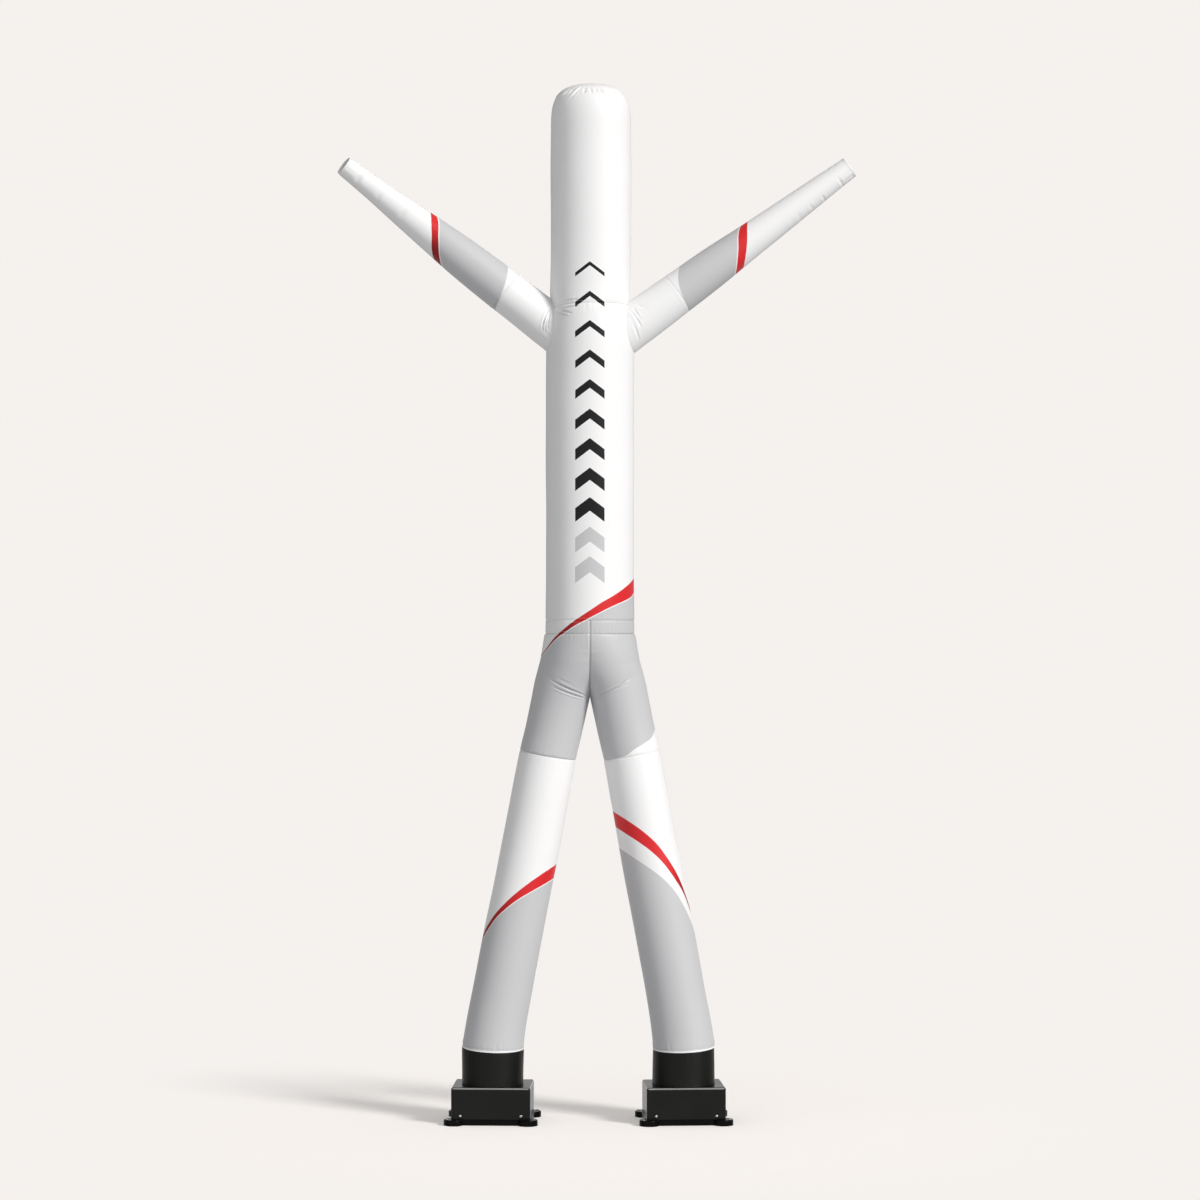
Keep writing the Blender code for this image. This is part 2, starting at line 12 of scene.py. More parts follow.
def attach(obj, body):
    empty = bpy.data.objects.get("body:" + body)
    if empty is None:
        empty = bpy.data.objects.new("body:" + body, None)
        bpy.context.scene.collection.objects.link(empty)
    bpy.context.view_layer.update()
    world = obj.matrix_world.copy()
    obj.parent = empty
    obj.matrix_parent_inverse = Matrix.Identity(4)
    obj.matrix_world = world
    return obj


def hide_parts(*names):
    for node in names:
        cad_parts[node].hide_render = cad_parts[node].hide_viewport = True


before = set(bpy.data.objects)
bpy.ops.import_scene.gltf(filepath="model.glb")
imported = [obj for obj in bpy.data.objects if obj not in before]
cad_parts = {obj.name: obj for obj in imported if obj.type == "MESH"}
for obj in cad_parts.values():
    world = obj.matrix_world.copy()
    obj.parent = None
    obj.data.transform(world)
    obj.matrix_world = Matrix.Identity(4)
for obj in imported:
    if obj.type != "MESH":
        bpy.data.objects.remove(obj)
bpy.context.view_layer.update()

bl_info = {
    "name": "Inflatable Dancer",
    "version": (1, 0, 0),
    "blender": (4, 5, 0),
    "location": "3D View > Sidebar > Dancer",
    "description": "Sews the cloth of an inflatable dancer over its solids and lights it",
    "category": "Object",
}

SIDES = ("left", "right")

# Where the trunk, the crotch and the feet are.
TRUNK_X = -0.044
CROTCH_Z = 2.447
FOOT_DRIFT = -0.010
NECK_Z = 4.702
NECK_SLOPE_X = 0.031
NECK_SLOPE_Y = -0.045
NECK_SPREAD = 0.10
CAP_SEAM_Z = 5.930
WAIST_LOW_Z = 2.817
WAIST_HIGH_Z = 2.895
HALF_GAP = 0.00015

# The head stands a little to the right of the trunk: by how much, from where and over what.
HEAD_SHIFT = 0.006
HEAD_SHIFT_FROM = 4.74
HEAD_SHIFT_OVER = 0.25

# Height, radius at the sides and radius at the front of the body, piece by piece.
TRUNK_ROWS = (
    (WAIST_HIGH_Z + HALF_GAP, 0.2550, 0.2550),
    (2.920, 0.2556, 0.2556),
    (3.200, 0.2544, 0.2544),
    (4.420, 0.2548, 0.2548),
    (4.500, 0.2532, 0.2548),
    (4.560, 0.2470, 0.2535),
    (4.610, 0.2405, 0.2515),
    (4.650, 0.2345, 0.2485),
    (4.680, 0.2285, 0.2440),
    (NECK_Z - HALF_GAP, 0.2235, 0.2350),
)
HEAD_ROWS = (
    (NECK_Z + HALF_GAP, 0.2235, 0.2350),
    (4.724, 0.2262, 0.2365),
    (4.760, 0.2300, 0.2350),
    (4.830, 0.2327, 0.2327),
    (5.300, 0.2327, 0.2327),
    (5.770, 0.2325, 0.2325),
    (5.838, 0.2280, 0.2280),
    (5.886, 0.2165, 0.2165),
    (5.915, 0.2020, 0.2020),
    (CAP_SEAM_Z - HALF_GAP, 0.1900, 0.1900),
)
CAP_ROWS = (
    (CAP_SEAM_Z + HALF_GAP, 0.1898, 0.1898),
    (5.944, 0.1790, 0.1790),
    (5.962, 0.1560, 0.1560),
    (5.977, 0.1220, 0.1220),
    (5.987, 0.0780, 0.0780),
    (5.991, 0.0330, 0.0330),
    (5.992, 0.0030, 0.0030),
)

# Inner height and half width, outer height and half width, and depth of the hips' rings. An
# inner half width under 0 is where the half lies open at the centre seam.
BAND_ROWS = (
    (WAIST_LOW_Z + HALF_GAP, -0.2570, WAIST_LOW_Z + HALF_GAP, 0.2570, 0.2545),
    (2.856, -0.2575, 2.856, 0.2575, 0.2560),
    (WAIST_HIGH_Z - HALF_GAP, -0.2550, WAIST_HIGH_Z - HALF_GAP, 0.2550, 0.2550),
)
SHORTS_ROWS = (
    (WAIST_LOW_Z - HALF_GAP, -0.2590, WAIST_LOW_Z - HALF_GAP, 0.2590, 0.2545),
    (2.800, -0.2486, 2.802, 0.2640, 0.2560),
    (2.740, -0.1927, 2.755, 0.2717, 0.2505),
    (2.664, -0.1318, 2.700, 0.2800, 0.2390),
    (2.590, -0.0807, 2.665, 0.2860, 0.2240),
    (2.520, -0.0326, 2.635, 0.2938, 0.2090),
    (2.474, -0.0092, 2.617, 0.2986, 0.2000),
    (CROTCH_Z, 0.0010, 2.599, 0.3034, 0.1930),
    (2.426, 0.0050, 2.567, 0.3122, 0.1900),
    (2.410, 0.0085, 2.548, 0.3172, 0.1875),
    (2.330, 0.0260, 2.440, 0.3398, 0.1770),
    (2.190, 0.0575, 2.262, 0.3765, 0.1680),
    (2.100, 0.0790, 2.158, 0.4005, 0.1665),
    (2.086 + HALF_GAP, 0.0825, 2.144 + HALF_GAP, 0.4028, 0.1655),
)

# How far round a half of the hips may close, its columns beside the centre seam as shares of
# the way round, how high above the crotch that seam is whole, and how near it holds the cloth.
CLOSED_TURN = math.pi * 0.998
SEAM_SHARES = (0.0, 0.0018, 0.0042, 0.0075, 0.0115, 0.0165, 0.0225)
CROTCH_FADE = 0.04
SEAM_HOLD = 0.012

# Height, distance from the middle, radius, tilt in degrees and forward lean of a leg's rings.
LEG_ROWS = (
    (2.115 - HALF_GAP, 0.2427, 0.1630, 10.3, 0.000),
    (2.092, 0.2470, 0.1650, 10.8, 0.000),
    (1.565, 0.3440, 0.1672, 11.1, 0.000),
    (0.987, 0.4567, 0.1695, 11.0, 0.000),
    (0.698, 0.5103, 0.1708, 10.2, 0.000),
    (0.583, 0.5310, 0.1728, 8.8, 0.000),
    (0.490, 0.5450, 0.1755, 5.5, 0.019),
    (0.447, 0.5500, 0.1775, 3.0, 0.037),
    (0.4238, 0.5515, 0.1778, 2.1, 0.056),
)

# A cuff's radius at each share of its height, from its hem down.
CUFF_ROWS = ((0.0, 0.1776), (0.12, 0.1782), (0.60, 0.1784), (0.92, 0.1790), (1.0, 0.1796))

# Arms: start from the trunk's centre line, rise and backward lean in degrees, length, and
# the radius at each share of the length.
ARMS = {
    "left": {
        "root": (-0.260, 4.618), "rise": 37.9, "back": 0.0, "length": 1.467,
        "seam": 0.195, "mouth_slant": 0.016,
        "radii": (
            (-0.20, 0.1300), (0.000, 0.1280), (0.125, 0.1250), (0.205, 0.1236),
            (0.400, 0.1165), (0.550, 0.1020), (0.700, 0.0855), (0.850, 0.0697),
            (0.949, 0.0629), (0.985, 0.0600), (1.000, 0.0550),
        ),
    },
    "right": {
        "root": (0.266, 4.607), "rise": 36.4, "back": 4.0, "length": 1.5435,
        "seam": 0.189, "mouth_slant": 0.004,
        "radii": (
            (-0.20, 0.1295), (0.000, 0.1275), (0.125, 0.1250), (0.200, 0.1222),
            (0.350, 0.1145), (0.520, 0.1000), (0.700, 0.0868), (0.870, 0.0738),
            (0.966, 0.0648), (1.000, 0.0615),
        ),
    },
}
ARM_HOLE_RADIUS = 0.1205
ARM_HOLE_ENDS = (-0.16, 0.20)
SHOULDER_SEARCH = (-0.22, 0.14)
SHOULDER_SINK = 0.003
ROOT_STEP = 0.016
MOUTH_REACH = 0.08

# Dents on the sleeves: X, Z, face (-1 front, 1 back), reach along and across the arm, depth.
DIMPLES = {
    "left": (
        (-1.382, 5.438, -1, 0.014, 0.026, 0.0050), (-1.265, 5.333, -1, 0.014, 0.030, 0.0032),
        (-1.128, 5.228, -1, 0.016, 0.030, 0.0026), (-1.330, 5.455, 1, 0.016, 0.030, 0.0040),
    ),
    "right": (
        (1.410, 5.430, -1, 0.008, 0.022, 0.0040), (1.310, 5.338, -1, 0.007, 0.016, 0.0032),
        (1.238, 5.284, -1, 0.009, 0.016, 0.0018), (1.167, 5.231, -1, 0.012, 0.022, 0.0018),
        (1.372, 5.530, -1, 0.006, 0.010, 0.0016), (1.333, 5.506, -1, 0.006, 0.009, 0.0014),
        (1.091, 5.172, -1, 0.010, 0.016, 0.0020), (1.320, 5.380, 1, 0.012, 0.026, 0.0040),
    ),
}
DIMPLE_RIDGE = 0.2

# Sewing of each piece. Its first and its last seam: tuck, pucker, the radius that sets the
# puckers' waves, their reach, their phase and what the right side adds to it. Then the swell's
# share, its phase and what the right side adds. None stands for an open end.
SEWING = {
    "trunk": (
        (1.0, 1.0, 0.255, 0.030, 0.4, 0), (0.6, 1.6, 0.240, 0.045, 1.3, 0), (1.0, 0.0, 0),
    ),
    "head": (
        (0.6, 1.6, 0.240, 0.045, 2.2, 0), (0.3, 0.0, 0.240, 0.045, 0.0, 0), (1.0, 1.0, 0),
    ),
    "cap": ((0.3, 0.0, 0.240, 0.045, 0.0, 0), None, (0.0, 0.0, 0)),
    "hips": (
        (1.0, 1.0, 0.160, 0.030, 3.1, 0), (1.0, 1.0, 0.160, 0.030, 0.7, 0), (1.0, 2.0, 0),
    ),
    "leg": (None, (1.0, 1.0, 0.170, 0.030, 4.0, 1), (1.0, 3.0, 1)),
    "cuff": (
        (0.0, 1.3, 0.170, 0.040, 6.0, 0), (0.5, 2.0, 0.170, 0.050, 5.0, 0), (2.2, 5.0, 1),
    ),
    "arm_root": (
        (1.0, 2.0, 0.125, 0.050, 0.0, 1), (1.0, 1.0, 0.125, 0.030, 2.5, 0), (1.0, 6.0, 0),
    ),
    "sleeve": ((1.0, 1.0, 0.120, 0.030, 3.3, 0), None, (1.0, 7.0, 1)),
}

# Hems: width, height of the roll, then pucker, radius, reach, phase and what the right adds.
HEMS = {
    "leg": (0.0085, 0.00180, 4.2, 0.170, 0.035, 2.0, 1),
    "sleeve": (0.0120, 0.00144, 2.4, 0.060, 0.060, 1.1, 0),
}
HEM_TUCK = 0.6
HEM_TUCK_AT = 0.0136

# The centre seam of the hips: tuck, and the radius, phase and reach of its puckers.
CENTRE_TUCK = 3.0
CENTRE_RADIUS = 0.1
CENTRE_PHASE = 1.9
CENTRE_REACH = 0.05

# How far from a seam its lap lies, and its rise as a share of the tuck.
LAP_WIDTH = 0.0125
LAP_RISE = 0.35

# Puckers: waves for each metre of radius, height, share of the phase and start.
PUCKER_WAVES = ((211, 1.0, 1.0, 0.0), (137, 0.7, 2.1, 1.0), (307, 0.5, 0.7, 2.0))
PUCKER_PATCHES = 17
PUCKER_CLEAR = 0.006

# Swell: height, radians for each metre of X, Y and Z, and share of the phase.
SWELL_WAVES = (
    (1.0, 3.0, 0.0, 7.1, 1.0), (0.6, 0.0, -9.0, 13.7, 1.7), (0.5, 11.0, -8.0, 4.3, 0.6),
)

# Creases in front: the path in X and Z, the width and the depth of the trough.
CREASES = {
    "trunk": (
        (((-0.245, 4.676), (-0.206, 4.681), (-0.166, 4.688), (-0.105, 4.690)), 0.0052, 0.0080),
        (((-0.243, 4.674), (-0.195, 4.668), (-0.148, 4.650)), 0.0052, 0.0088),
        (((-0.239, 4.664), (-0.210, 4.654), (-0.176, 4.640)), 0.0048, 0.0060),
        (((0.140, 4.688), (0.178, 4.672), (0.190, 4.662)), 0.0070, 0.0025),
    ),
    "head": (
        (((-0.215, 4.716), (-0.166, 4.727), (-0.115, 4.731)), 0.0052, 0.0060),
    ),
    "shorts_left": (
        (((-0.231, 2.566), (-0.183, 2.541), (-0.130, 2.516)), 0.0045, 0.0030),
        (((-0.264, 2.550), (-0.194, 2.516), (-0.130, 2.487), (-0.064, 2.456)), 0.0048, 0.0095),
        (((-0.254, 2.513), (-0.194, 2.487), (-0.136, 2.466), (-0.070, 2.444)), 0.0046, 0.0078),
    ),
    "shorts_right": (
        (((0.182, 2.560), (0.122, 2.513), (0.057, 2.481), (-0.010, 2.449)), 0.0050, 0.0062),
        (((0.174, 2.532), (0.139, 2.514), (0.098, 2.496)), 0.0048, 0.0032),
    ),
    "arm_left": (
        (((-0.264, 4.684), (-0.278, 4.640), (-0.285, 4.598), (-0.287, 4.560)), 0.0042, 0.0085),
        (((-0.268, 4.690), (-0.288, 4.636), (-0.299, 4.590), (-0.301, 4.552)), 0.0042, 0.0095),
        (((-0.276, 4.692), (-0.300, 4.642), (-0.314, 4.600), (-0.315, 4.562)), 0.0046, 0.0080),
    ),
    "arm_right": (
        (((0.196, 4.670), (0.222, 4.632), (0.251, 4.578)), 0.0060, 0.0055),
        (((0.204, 4.690), (0.228, 4.652), (0.246, 4.622)), 0.0060, 0.0040),
        (((0.230, 4.710), (0.262, 4.690), (0.290, 4.662)), 0.0060, 0.0032),
        (((0.208, 4.590), (0.226, 4.548), (0.238, 4.505)), 0.0060, 0.0045),
    ),
}
# Its ridges as shares of the depth and of the width: height, distance and width. How far the
# taper at each end goes, and how quickly.
CREASE_RIDGE = (0.45, 1.9, 0.8)
CREASE_END = 0.03
CREASE_TAPER = 0.8
# A crease shows on the back too: how much higher, and its width and depth as shares.
BACK_CREASE = (0.012, 1.2, 0.6)

# Pleats of the cap's seam that face the front: where in degrees, width, depth, reach, lean.
# The others are drawn at random within the limits.
FRONT_PLEATS = (
    (-55, 0.040, 0.55, 0.020, 2.0), (-45, 0.036, 0.75, 0.022, 3.0),
    (-35, 0.034, 0.55, 0.016, 2.0), (-24, 0.036, 1.20, 0.034, 3.0),
    (-11, 0.032, 0.65, 0.018, 0.0), (0, 0.032, 0.55, 0.022, -1.0),
    (9, 0.030, 0.35, 0.014, 1.0), (18, 0.034, 0.85, 0.024, -2.0),
)
PLEAT_LIMITS = ((30, 295), (0.024, 0.055), (0.35, 1.0), (0.016, 0.030), (-3, 3))
PLEAT_RIDGE = 0.45
PLEATS = 24
PLEAT_SEED = 12

# Print lines, as X and Z along each line.
SASH_TOP = (
    (-0.345, 2.670), (-0.302, 2.722), (-0.268, 2.770), (-0.232, 2.811), (-0.188, 2.849),
    (-0.141, 2.887), (-0.094, 2.919), (-0.036, 2.957), (0.022, 2.996), (0.081, 3.030),
    (0.139, 3.068), (0.175, 3.097), (0.199, 3.121), (0.209, 3.136), (0.225, 3.165),
)
SASH_FOOT = (
    (-0.345, 2.662), (-0.309, 2.706), (-0.286, 2.733), (-0.259, 2.767), (-0.232, 2.793),
    (-0.193, 2.822), (-0.133, 2.863), (-0.067, 2.898), (0.000, 2.933), (0.066, 2.967),
    (0.133, 2.997), (0.166, 3.012), (0.192, 3.028), (0.206, 3.046), (0.220, 3.078),
)
LEFT_BAND_TOP = (
    (-0.675, 1.020), (-0.663, 1.063), (-0.649, 1.105), (-0.621, 1.157), (-0.585, 1.211),
    (-0.540, 1.262), (-0.491, 1.310), (-0.425, 1.364), (-0.334, 1.428), (-0.230, 1.490),
)
LEFT_BAND_FOOT = (
    (-0.675, 1.010), (-0.662, 1.052), (-0.644, 1.090), (-0.616, 1.137), (-0.585, 1.182),
    (-0.544, 1.224), (-0.500, 1.262), (-0.443, 1.302), (-0.377, 1.340), (-0.312, 1.374),
    (-0.240, 1.412),
)
RIGHT_BAND_TOP = (
    (0.060, 1.807), (0.086, 1.793), (0.193, 1.731), (0.270, 1.676), (0.342, 1.609),
    (0.399, 1.532), (0.440, 1.466), (0.477, 1.390), (0.508, 1.306), (0.536, 1.220),
    (0.550, 1.166),
)
RIGHT_BAND_FOOT = (
    (0.060, 1.726), (0.102, 1.702), (0.183, 1.655), (0.255, 1.609), (0.321, 1.558),
    (0.373, 1.506), (0.414, 1.453), (0.450, 1.398), (0.487, 1.336), (0.521, 1.254),
    (0.536, 1.206), (0.550, 1.150),
)
RIGHT_GREY_TOP = (
    (0.090, 1.600), (0.128, 1.578), (0.219, 1.524), (0.280, 1.485), (0.347, 1.436),
    (0.403, 1.386), (0.450, 1.328), (0.492, 1.258), (0.523, 1.194), (0.545, 1.138),
    (0.560, 1.090),
)
RIGHT_THIGH_FOOT = (
    (0.000, 2.070), (0.031, 2.080), (0.120, 2.106), (0.166, 2.120), (0.212, 2.155),
    (0.274, 2.192), (0.309, 2.218), (0.330, 2.262), (0.360, 2.330),
)
# The same for the arms, as Z and X along each line.
LEFT_STRIPE_OUT = (
    (4.960, -0.934), (5.006, -0.952), (5.128, -0.955), (5.264, -0.968), (5.300, -0.985),
)
LEFT_STRIPE_IN = (
    (4.930, -0.896), (4.971, -0.909), (5.093, -0.916), (5.200, -0.920), (5.240, -0.938),
)
LEFT_GREY_IN = (
    (4.660, -0.604), (4.697, -0.586), (4.806, -0.540), (4.887, -0.519), (4.950, -0.518),
)
RIGHT_STRIPE_OUT = (
    (4.900, 0.838), (4.937, 0.845), (5.058, 0.861), (5.207, 0.869), (5.240, 0.880),
)
RIGHT_STRIPE_IN = (
    (4.860, 0.790), (4.900, 0.799), (5.028, 0.811), (5.130, 0.815), (5.180, 0.830),
)
RIGHT_GREY_IN = (
    (4.650, 0.540), (4.689, 0.525), (4.779, 0.482), (4.863, 0.464), (4.950, 0.478),
)
PIPING_GAP = 0.006
LINE_ROOM = 0.05
LINE_SOFT = 0.0016

# The column of chevrons: middle, half width, foot and top, pitch, slope, the share of the
# pitch that a bar fills at the foot and at the top, and how many from the foot are grey.
CHEVRON_X = -0.044
CHEVRON_HALF_WIDTH = 0.084
CHEVRON_SPAN = (3.170, 5.1005)
CHEVRON_PITCH = 0.1755
CHEVRON_SLOPE = 0.75
CHEVRON_BAR = (0.52, 0.09)
CHEVRON_PALE = 2.0

# The weave: pitch of its yarns and of its thick threads, how sharp these stand, the share of
# the plain weave's height, and the width of the white hem.
YARN = 0.0011
RIPSTOP = 0.0065
RIPSTOP_SHARP = 30.0
WEAVE_SHARE = 0.25
HEM_WHITE = 0.0068
THREAD_COLOUR = (0.80, 0.79, 0.77)
# The colour of the highlight painted along the blowers' rounded top edges.
EDGE_HIGHLIGHT_COLOUR = (0.30, 0.30, 0.29)

# Blowers: sizes.
FOOT_X = 0.552
BOX_SIZE = (0.455, 0.380)
BOX_TOP_Z = 0.216
BOX_EDGE = 0.012
TOE_OUT = {"left": 2.2, "right": 3.5}
PLATE_THICK = 0.034
PLATE_GAP = 0.0003
PLATE_MARGIN = 0.007
PLATE_EDGE = 0.006
EAR_RADIUS = 0.058
EAR_INSET = (0.022, 0.019)
EAR_STEPS = 20
EAR_SCREW_OUT = (0.019, 0.014)
COLLAR_RADIUS = 0.1742
COLLAR_WALL = 0.007
COLLAR_HEIGHT = 0.050
OUTLET_DEPTH = 0.110
BOSS_RADIUS = 0.015
BOSS_PROUD = 0.003
COLLAR_STEPS = 72
BOSS_STEPS = 32
SCREW_STEPS = 28
SHARP_OVER = 35
BOSS_SINK = 0.0012
FACE_SCREW_X = 0.174
FACE_SCREW_Z = 0.054
SCREW_RADIUS = 0.0075
PLATE_FOOT_EDGE = 0.0015
SLOT_REACH = 0.0036
SLOT_HALF = 0.0006
SLOT_DEPTH = 0.002

# Profiles of what is turned, as radius and height from the axis outwards and back.
COLLAR_TOP_Z = BOX_TOP_Z + COLLAR_HEIGHT
COLLAR_FOOT_Z = BOX_TOP_Z - 0.03
COLLAR_PROFILE = (
    (0, COLLAR_FOOT_Z), (COLLAR_RADIUS, COLLAR_FOOT_Z), (COLLAR_RADIUS, COLLAR_TOP_Z - 0.003),
    (COLLAR_RADIUS - 0.001, COLLAR_TOP_Z - 0.001), (COLLAR_RADIUS - 0.003, COLLAR_TOP_Z),
    (0, COLLAR_TOP_Z),
)
BORE_RADIUS = COLLAR_RADIUS - COLLAR_WALL
BORE_FOOT_Z = BOX_TOP_Z - OUTLET_DEPTH
BORE_PROFILE = (
    (0, BORE_FOOT_Z), (BORE_RADIUS, BORE_FOOT_Z), (BORE_RADIUS, COLLAR_TOP_Z - 0.002),
    (BORE_RADIUS + 0.012, COLLAR_TOP_Z + 0.010), (0, COLLAR_TOP_Z + 0.010),
)
BOSS_PROFILE = (
    (0, -0.010), (BOSS_RADIUS, -0.010), (BOSS_RADIUS, BOSS_PROUD - 0.0010),
    (BOSS_RADIUS - 0.0003, BOSS_PROUD - 0.0003), (BOSS_RADIUS - 0.0010, BOSS_PROUD),
    (0.0105, BOSS_PROUD), (0.0095, BOSS_PROUD - BOSS_SINK), (0, BOSS_PROUD - BOSS_SINK),
)
SCREW_TOP = 0.0042
SCREW_PROFILE = (
    (0, 0), (0.0072, 0), (SCREW_RADIUS, 0.0006), (SCREW_RADIUS, 0.0020), (0.0069, 0.0031),
    (0.0056, 0.0038), (0.0035, 0.0041), (0, SCREW_TOP),
)
# How strongly a highlight is painted over an edge's rounding: degrees above level, share.
EDGE_HIGHLIGHT_AT = ((5, 0.0), (18, 0.85), (36, 1.0), (54, 0.35), (72, 0.0))

# How finely the cloth is drawn, and its fine spans: from the foot, or up to the sleeve's end.
BODY_COLUMNS = 240
SPLIT_COLUMNS = 210
LEG_COLUMNS = 120
ARM_COLUMNS = 120
COARSE_STEP = 0.026
FINE_STEP = 0.0045
EDGE_STEPS = (0.0, 0.0012, 0.0028, 0.0048, 0.0072, 0.0098, 0.0125, 0.0160, 0.0205, 0.0260)
SHORTS_FINE = ((0.30, 0.62),)
LEG_FINE = ((0.0, 0.10),)
ROOT_FINE = ((0.0, 0.12),)
SLEEVE_FINE = 0.5

# Stitches: how many rows or columns of the cloth they lie from a seam, the shares of their
# length, how far out they lie in radii, and the seeds.
STITCH_STEP = 6
STITCHED_ROWS = (STITCH_STEP, -1 - STITCH_STEP)
STITCH_UNEVEN = (0.78, 1.12)
STITCH_SEED = 5
THREAD_RISE = 0.4
SCREW_SEED = 3

# The studio: where the floor's shadow ends, over what and how it fades, how light the floor
# is, the card behind, where the key light comes from, and the camera's X and Z.
FLOOR_REACH = 400.0
FLOOR_Z = -0.0005
SHADOW_END = 3.6
SHADOW_FADE = 1.9
SHADOW_POWER = 1.6
FLOOR_SHARE = 0.90
FLOOR_GLOW = 0.272
CARD_SIZE = (12.0, 4.0)
CARD_PLACE = (0.0, 7.0, 0.4)
CARD_POWER = 60.0
KEY_FROM = (0.663, -0.557, 0.500)
KEY_COLOUR = (1.0, 0.985, 0.965)
AIM = (0.058, 3.011)


def length_setting(label, about, default, low, high):
    return FloatProperty(
        name=label, description=about, default=default, min=low, max=high, unit="LENGTH"
    )


def colour_setting(label, about, default):
    return FloatVectorProperty(
        name=label, description=about, subtype="COLOR", size=3, default=default, min=0.0, max=1.0
    )


def light_setting(label, about, default, high=5.0):
    return FloatProperty(name=label, description=about, default=default, min=0.0, max=high)


class DancerCloth(bpy.types.PropertyGroup):
    """The sizes of the cloth and of its sewing."""

    wall: length_setting("Cloth thickness", "Thickness of the coated nylon", 0.0015, 0.0005, 0.003)
    tuck: length_setting("Seam tuck", "How far a seam draws the cloth in", 0.0014, 0.0, 0.01)
    tuck_width: length_setting(
        "Tuck width", "How far from a seam its tuck reaches", 0.0042, 0.001, 0.03
    )
    pucker: length_setting(
        "Pucker", "Height of the small puckers along a seam", 0.0011, 0.0, 0.01
    )
    pleat: length_setting(
        "Cap pleats", "Depth of the pleats that gather the cap's seam", 0.0075, 0.0, 0.02
    )
    swell: length_setting(
        "Swell", "Height of the slow unevenness of the inflated tubes", 0.0016, 0.0, 0.01
    )
    stitch_pitch: length_setting(
        "Stitch pitch", "Distance from one stitch to the next", 0.0065, 0.002, 0.03
    )
    stitch_length: length_setting("Stitch length", "Length of one stitch", 0.0050, 0.001, 0.02)
    thread: length_setting("Thread radius", "Radius of the sewing thread", 0.00055, 0.0002, 0.002)


class DancerColours(bpy.types.PropertyGroup):
    """The colours of the dancer's finishes."""

    white: colour_setting("White", "Bare nylon", (0.860, 0.858, 0.862))
    grey: colour_setting("Grey", "Grey print", (0.538, 0.541, 0.555))
    red: colour_setting("Red", "Red print", (0.665, 0.016, 0.020))
    # Painted shade: the red print is drawn darker towards this colour at the shaded end of a band.
    shaded_red: colour_setting(
        "Deep red", "Red print at the dark ends of its bands", (0.300, 0.0010, 0.0015)
    )
    ink: colour_setting("Ink", "Black print", (0.0015, 0.0015, 0.0018))
    cuff: colour_setting("Cuff", "Black cloth of the cuffs", (0.0026, 0.0027, 0.0018))
    plastic: colour_setting("Plastic", "Moulded plastic of the blowers", (0.0030, 0.0031, 0.0022))


class DancerStudio(bpy.types.PropertyGroup):
    """The studio's light, floor and camera."""

    key: light_setting("Key light", "Strength of the key light from the right", 2.65, 20.0)
    key_spread: FloatProperty(
        name="Key spread", description="Apparent width of the key light",
        default=math.radians(16), min=0.0, max=math.pi, subtype="ANGLE",
    )
    front: light_setting("Front light", "Soft light from the camera's side", 0.55)
    back: light_setting("Back light", "Soft light from the backdrop", 0.28)
    left: light_setting("Left light", "Soft light from the left", 0.22)
    right: light_setting("Right light", "Soft light from the right", 0.17)
    above: light_setting("Light from above", "Soft light from above", 0.20)
    below: light_setting("Light from below", "Soft light that the pale floor sends up", 0.26)
    pale: colour_setting("Backdrop", "Colour of the backdrop as seen", (0.913, 0.880, 0.855))
    distance: length_setting(
        "Camera distance", "From the dancer's middle to the camera", 20.24, 1.0, 100.0
    )
    lens: FloatProperty(
        name="Lens", description="Focal length of the camera in millimetres",
        default=105.0, min=10.0, max=500.0,
    )


# Shader building.


def feed(tree, node, inputs):
    """Gives a node's sockets their values, or the sockets that they read."""
    for key, value in inputs.items():
        if isinstance(value, bpy.types.NodeSocket):
            tree.links.new(value, node.inputs[key])
        else:
            node.inputs[key].default_value = value


def add_node(tree, kind, inputs=None, **settings):
    """A node with its settings and its inputs."""
    made = tree.nodes.new(kind)
    for key, value in settings.items():
        setattr(made, key, value)
    feed(tree, made, inputs or {})
    return made


def calc(tree, operation, *values, clamp=False):
    """The result of a Math node."""
    made = add_node(
        tree, "ShaderNodeMath", dict(enumerate(values)), operation=operation, use_clamp=clamp
    )
    return made.outputs[0]


def product(tree, *shares):
    total = shares[0]
    for share in shares[1:]:
        total = calc(tree, "MULTIPLY", total, share)
    return total


def ranged(tree, share, low, high):
    """low where share is 0 and high where it is 1."""
    return calc(tree, "MULTIPLY_ADD", share, high - low, low)


def share_of(tree, value, low, high):
    """0 where the value is low and 1 where it is high, and held between them."""
    return add_node(
        tree, "ShaderNodeMapRange", {0: value, 1: low, 2: high, 3: 0.0, 4: 1.0}
    ).outputs[0]


def blend_colour(tree, share, low, high):
    """low where share is 0 and high where it is 1; both are colours or sockets."""
    made = add_node(
        tree, "ShaderNodeMix",
        {0: share, 6: low if hasattr(low, "links") else (*low, 1.0),
         7: high if hasattr(high, "links") else (*high, 1.0)},
        data_type="RGBA",
    )
    return made.outputs[2]


def blend_shader(tree, share, low, high):
    made = add_node(
        tree, "ShaderNodeMixShader", {0: share, 1: low.outputs[0], 2: high.outputs[0]}
    )
    return made.outputs[0]


def noise(tree, place, scale, detail, rough=0.5):
    """Noise of about one wave for each 1 / scale metres, from 0 to 1."""
    made = add_node(
        tree, "ShaderNodeTexNoise",
        {"Vector": place, "Scale": scale, "Detail": detail, "Roughness": rough},
    )
    return made.outputs["Fac"]


def bump_on(tree, height, distance, strength, under=None):
    inputs = {"Height": height, "Distance": distance, "Strength": strength}
    if under is not None:
        inputs["Normal"] = under
    return add_node(tree, "ShaderNodeBump", inputs).outputs[0]


def uv_place(tree, name):
    """The two coordinates of a UV map."""
    drawn = add_node(tree, "ShaderNodeUVMap", uv_map=name).outputs[0]
    return add_node(tree, "ShaderNodeSeparateXYZ", {0: drawn}).outputs[:2]


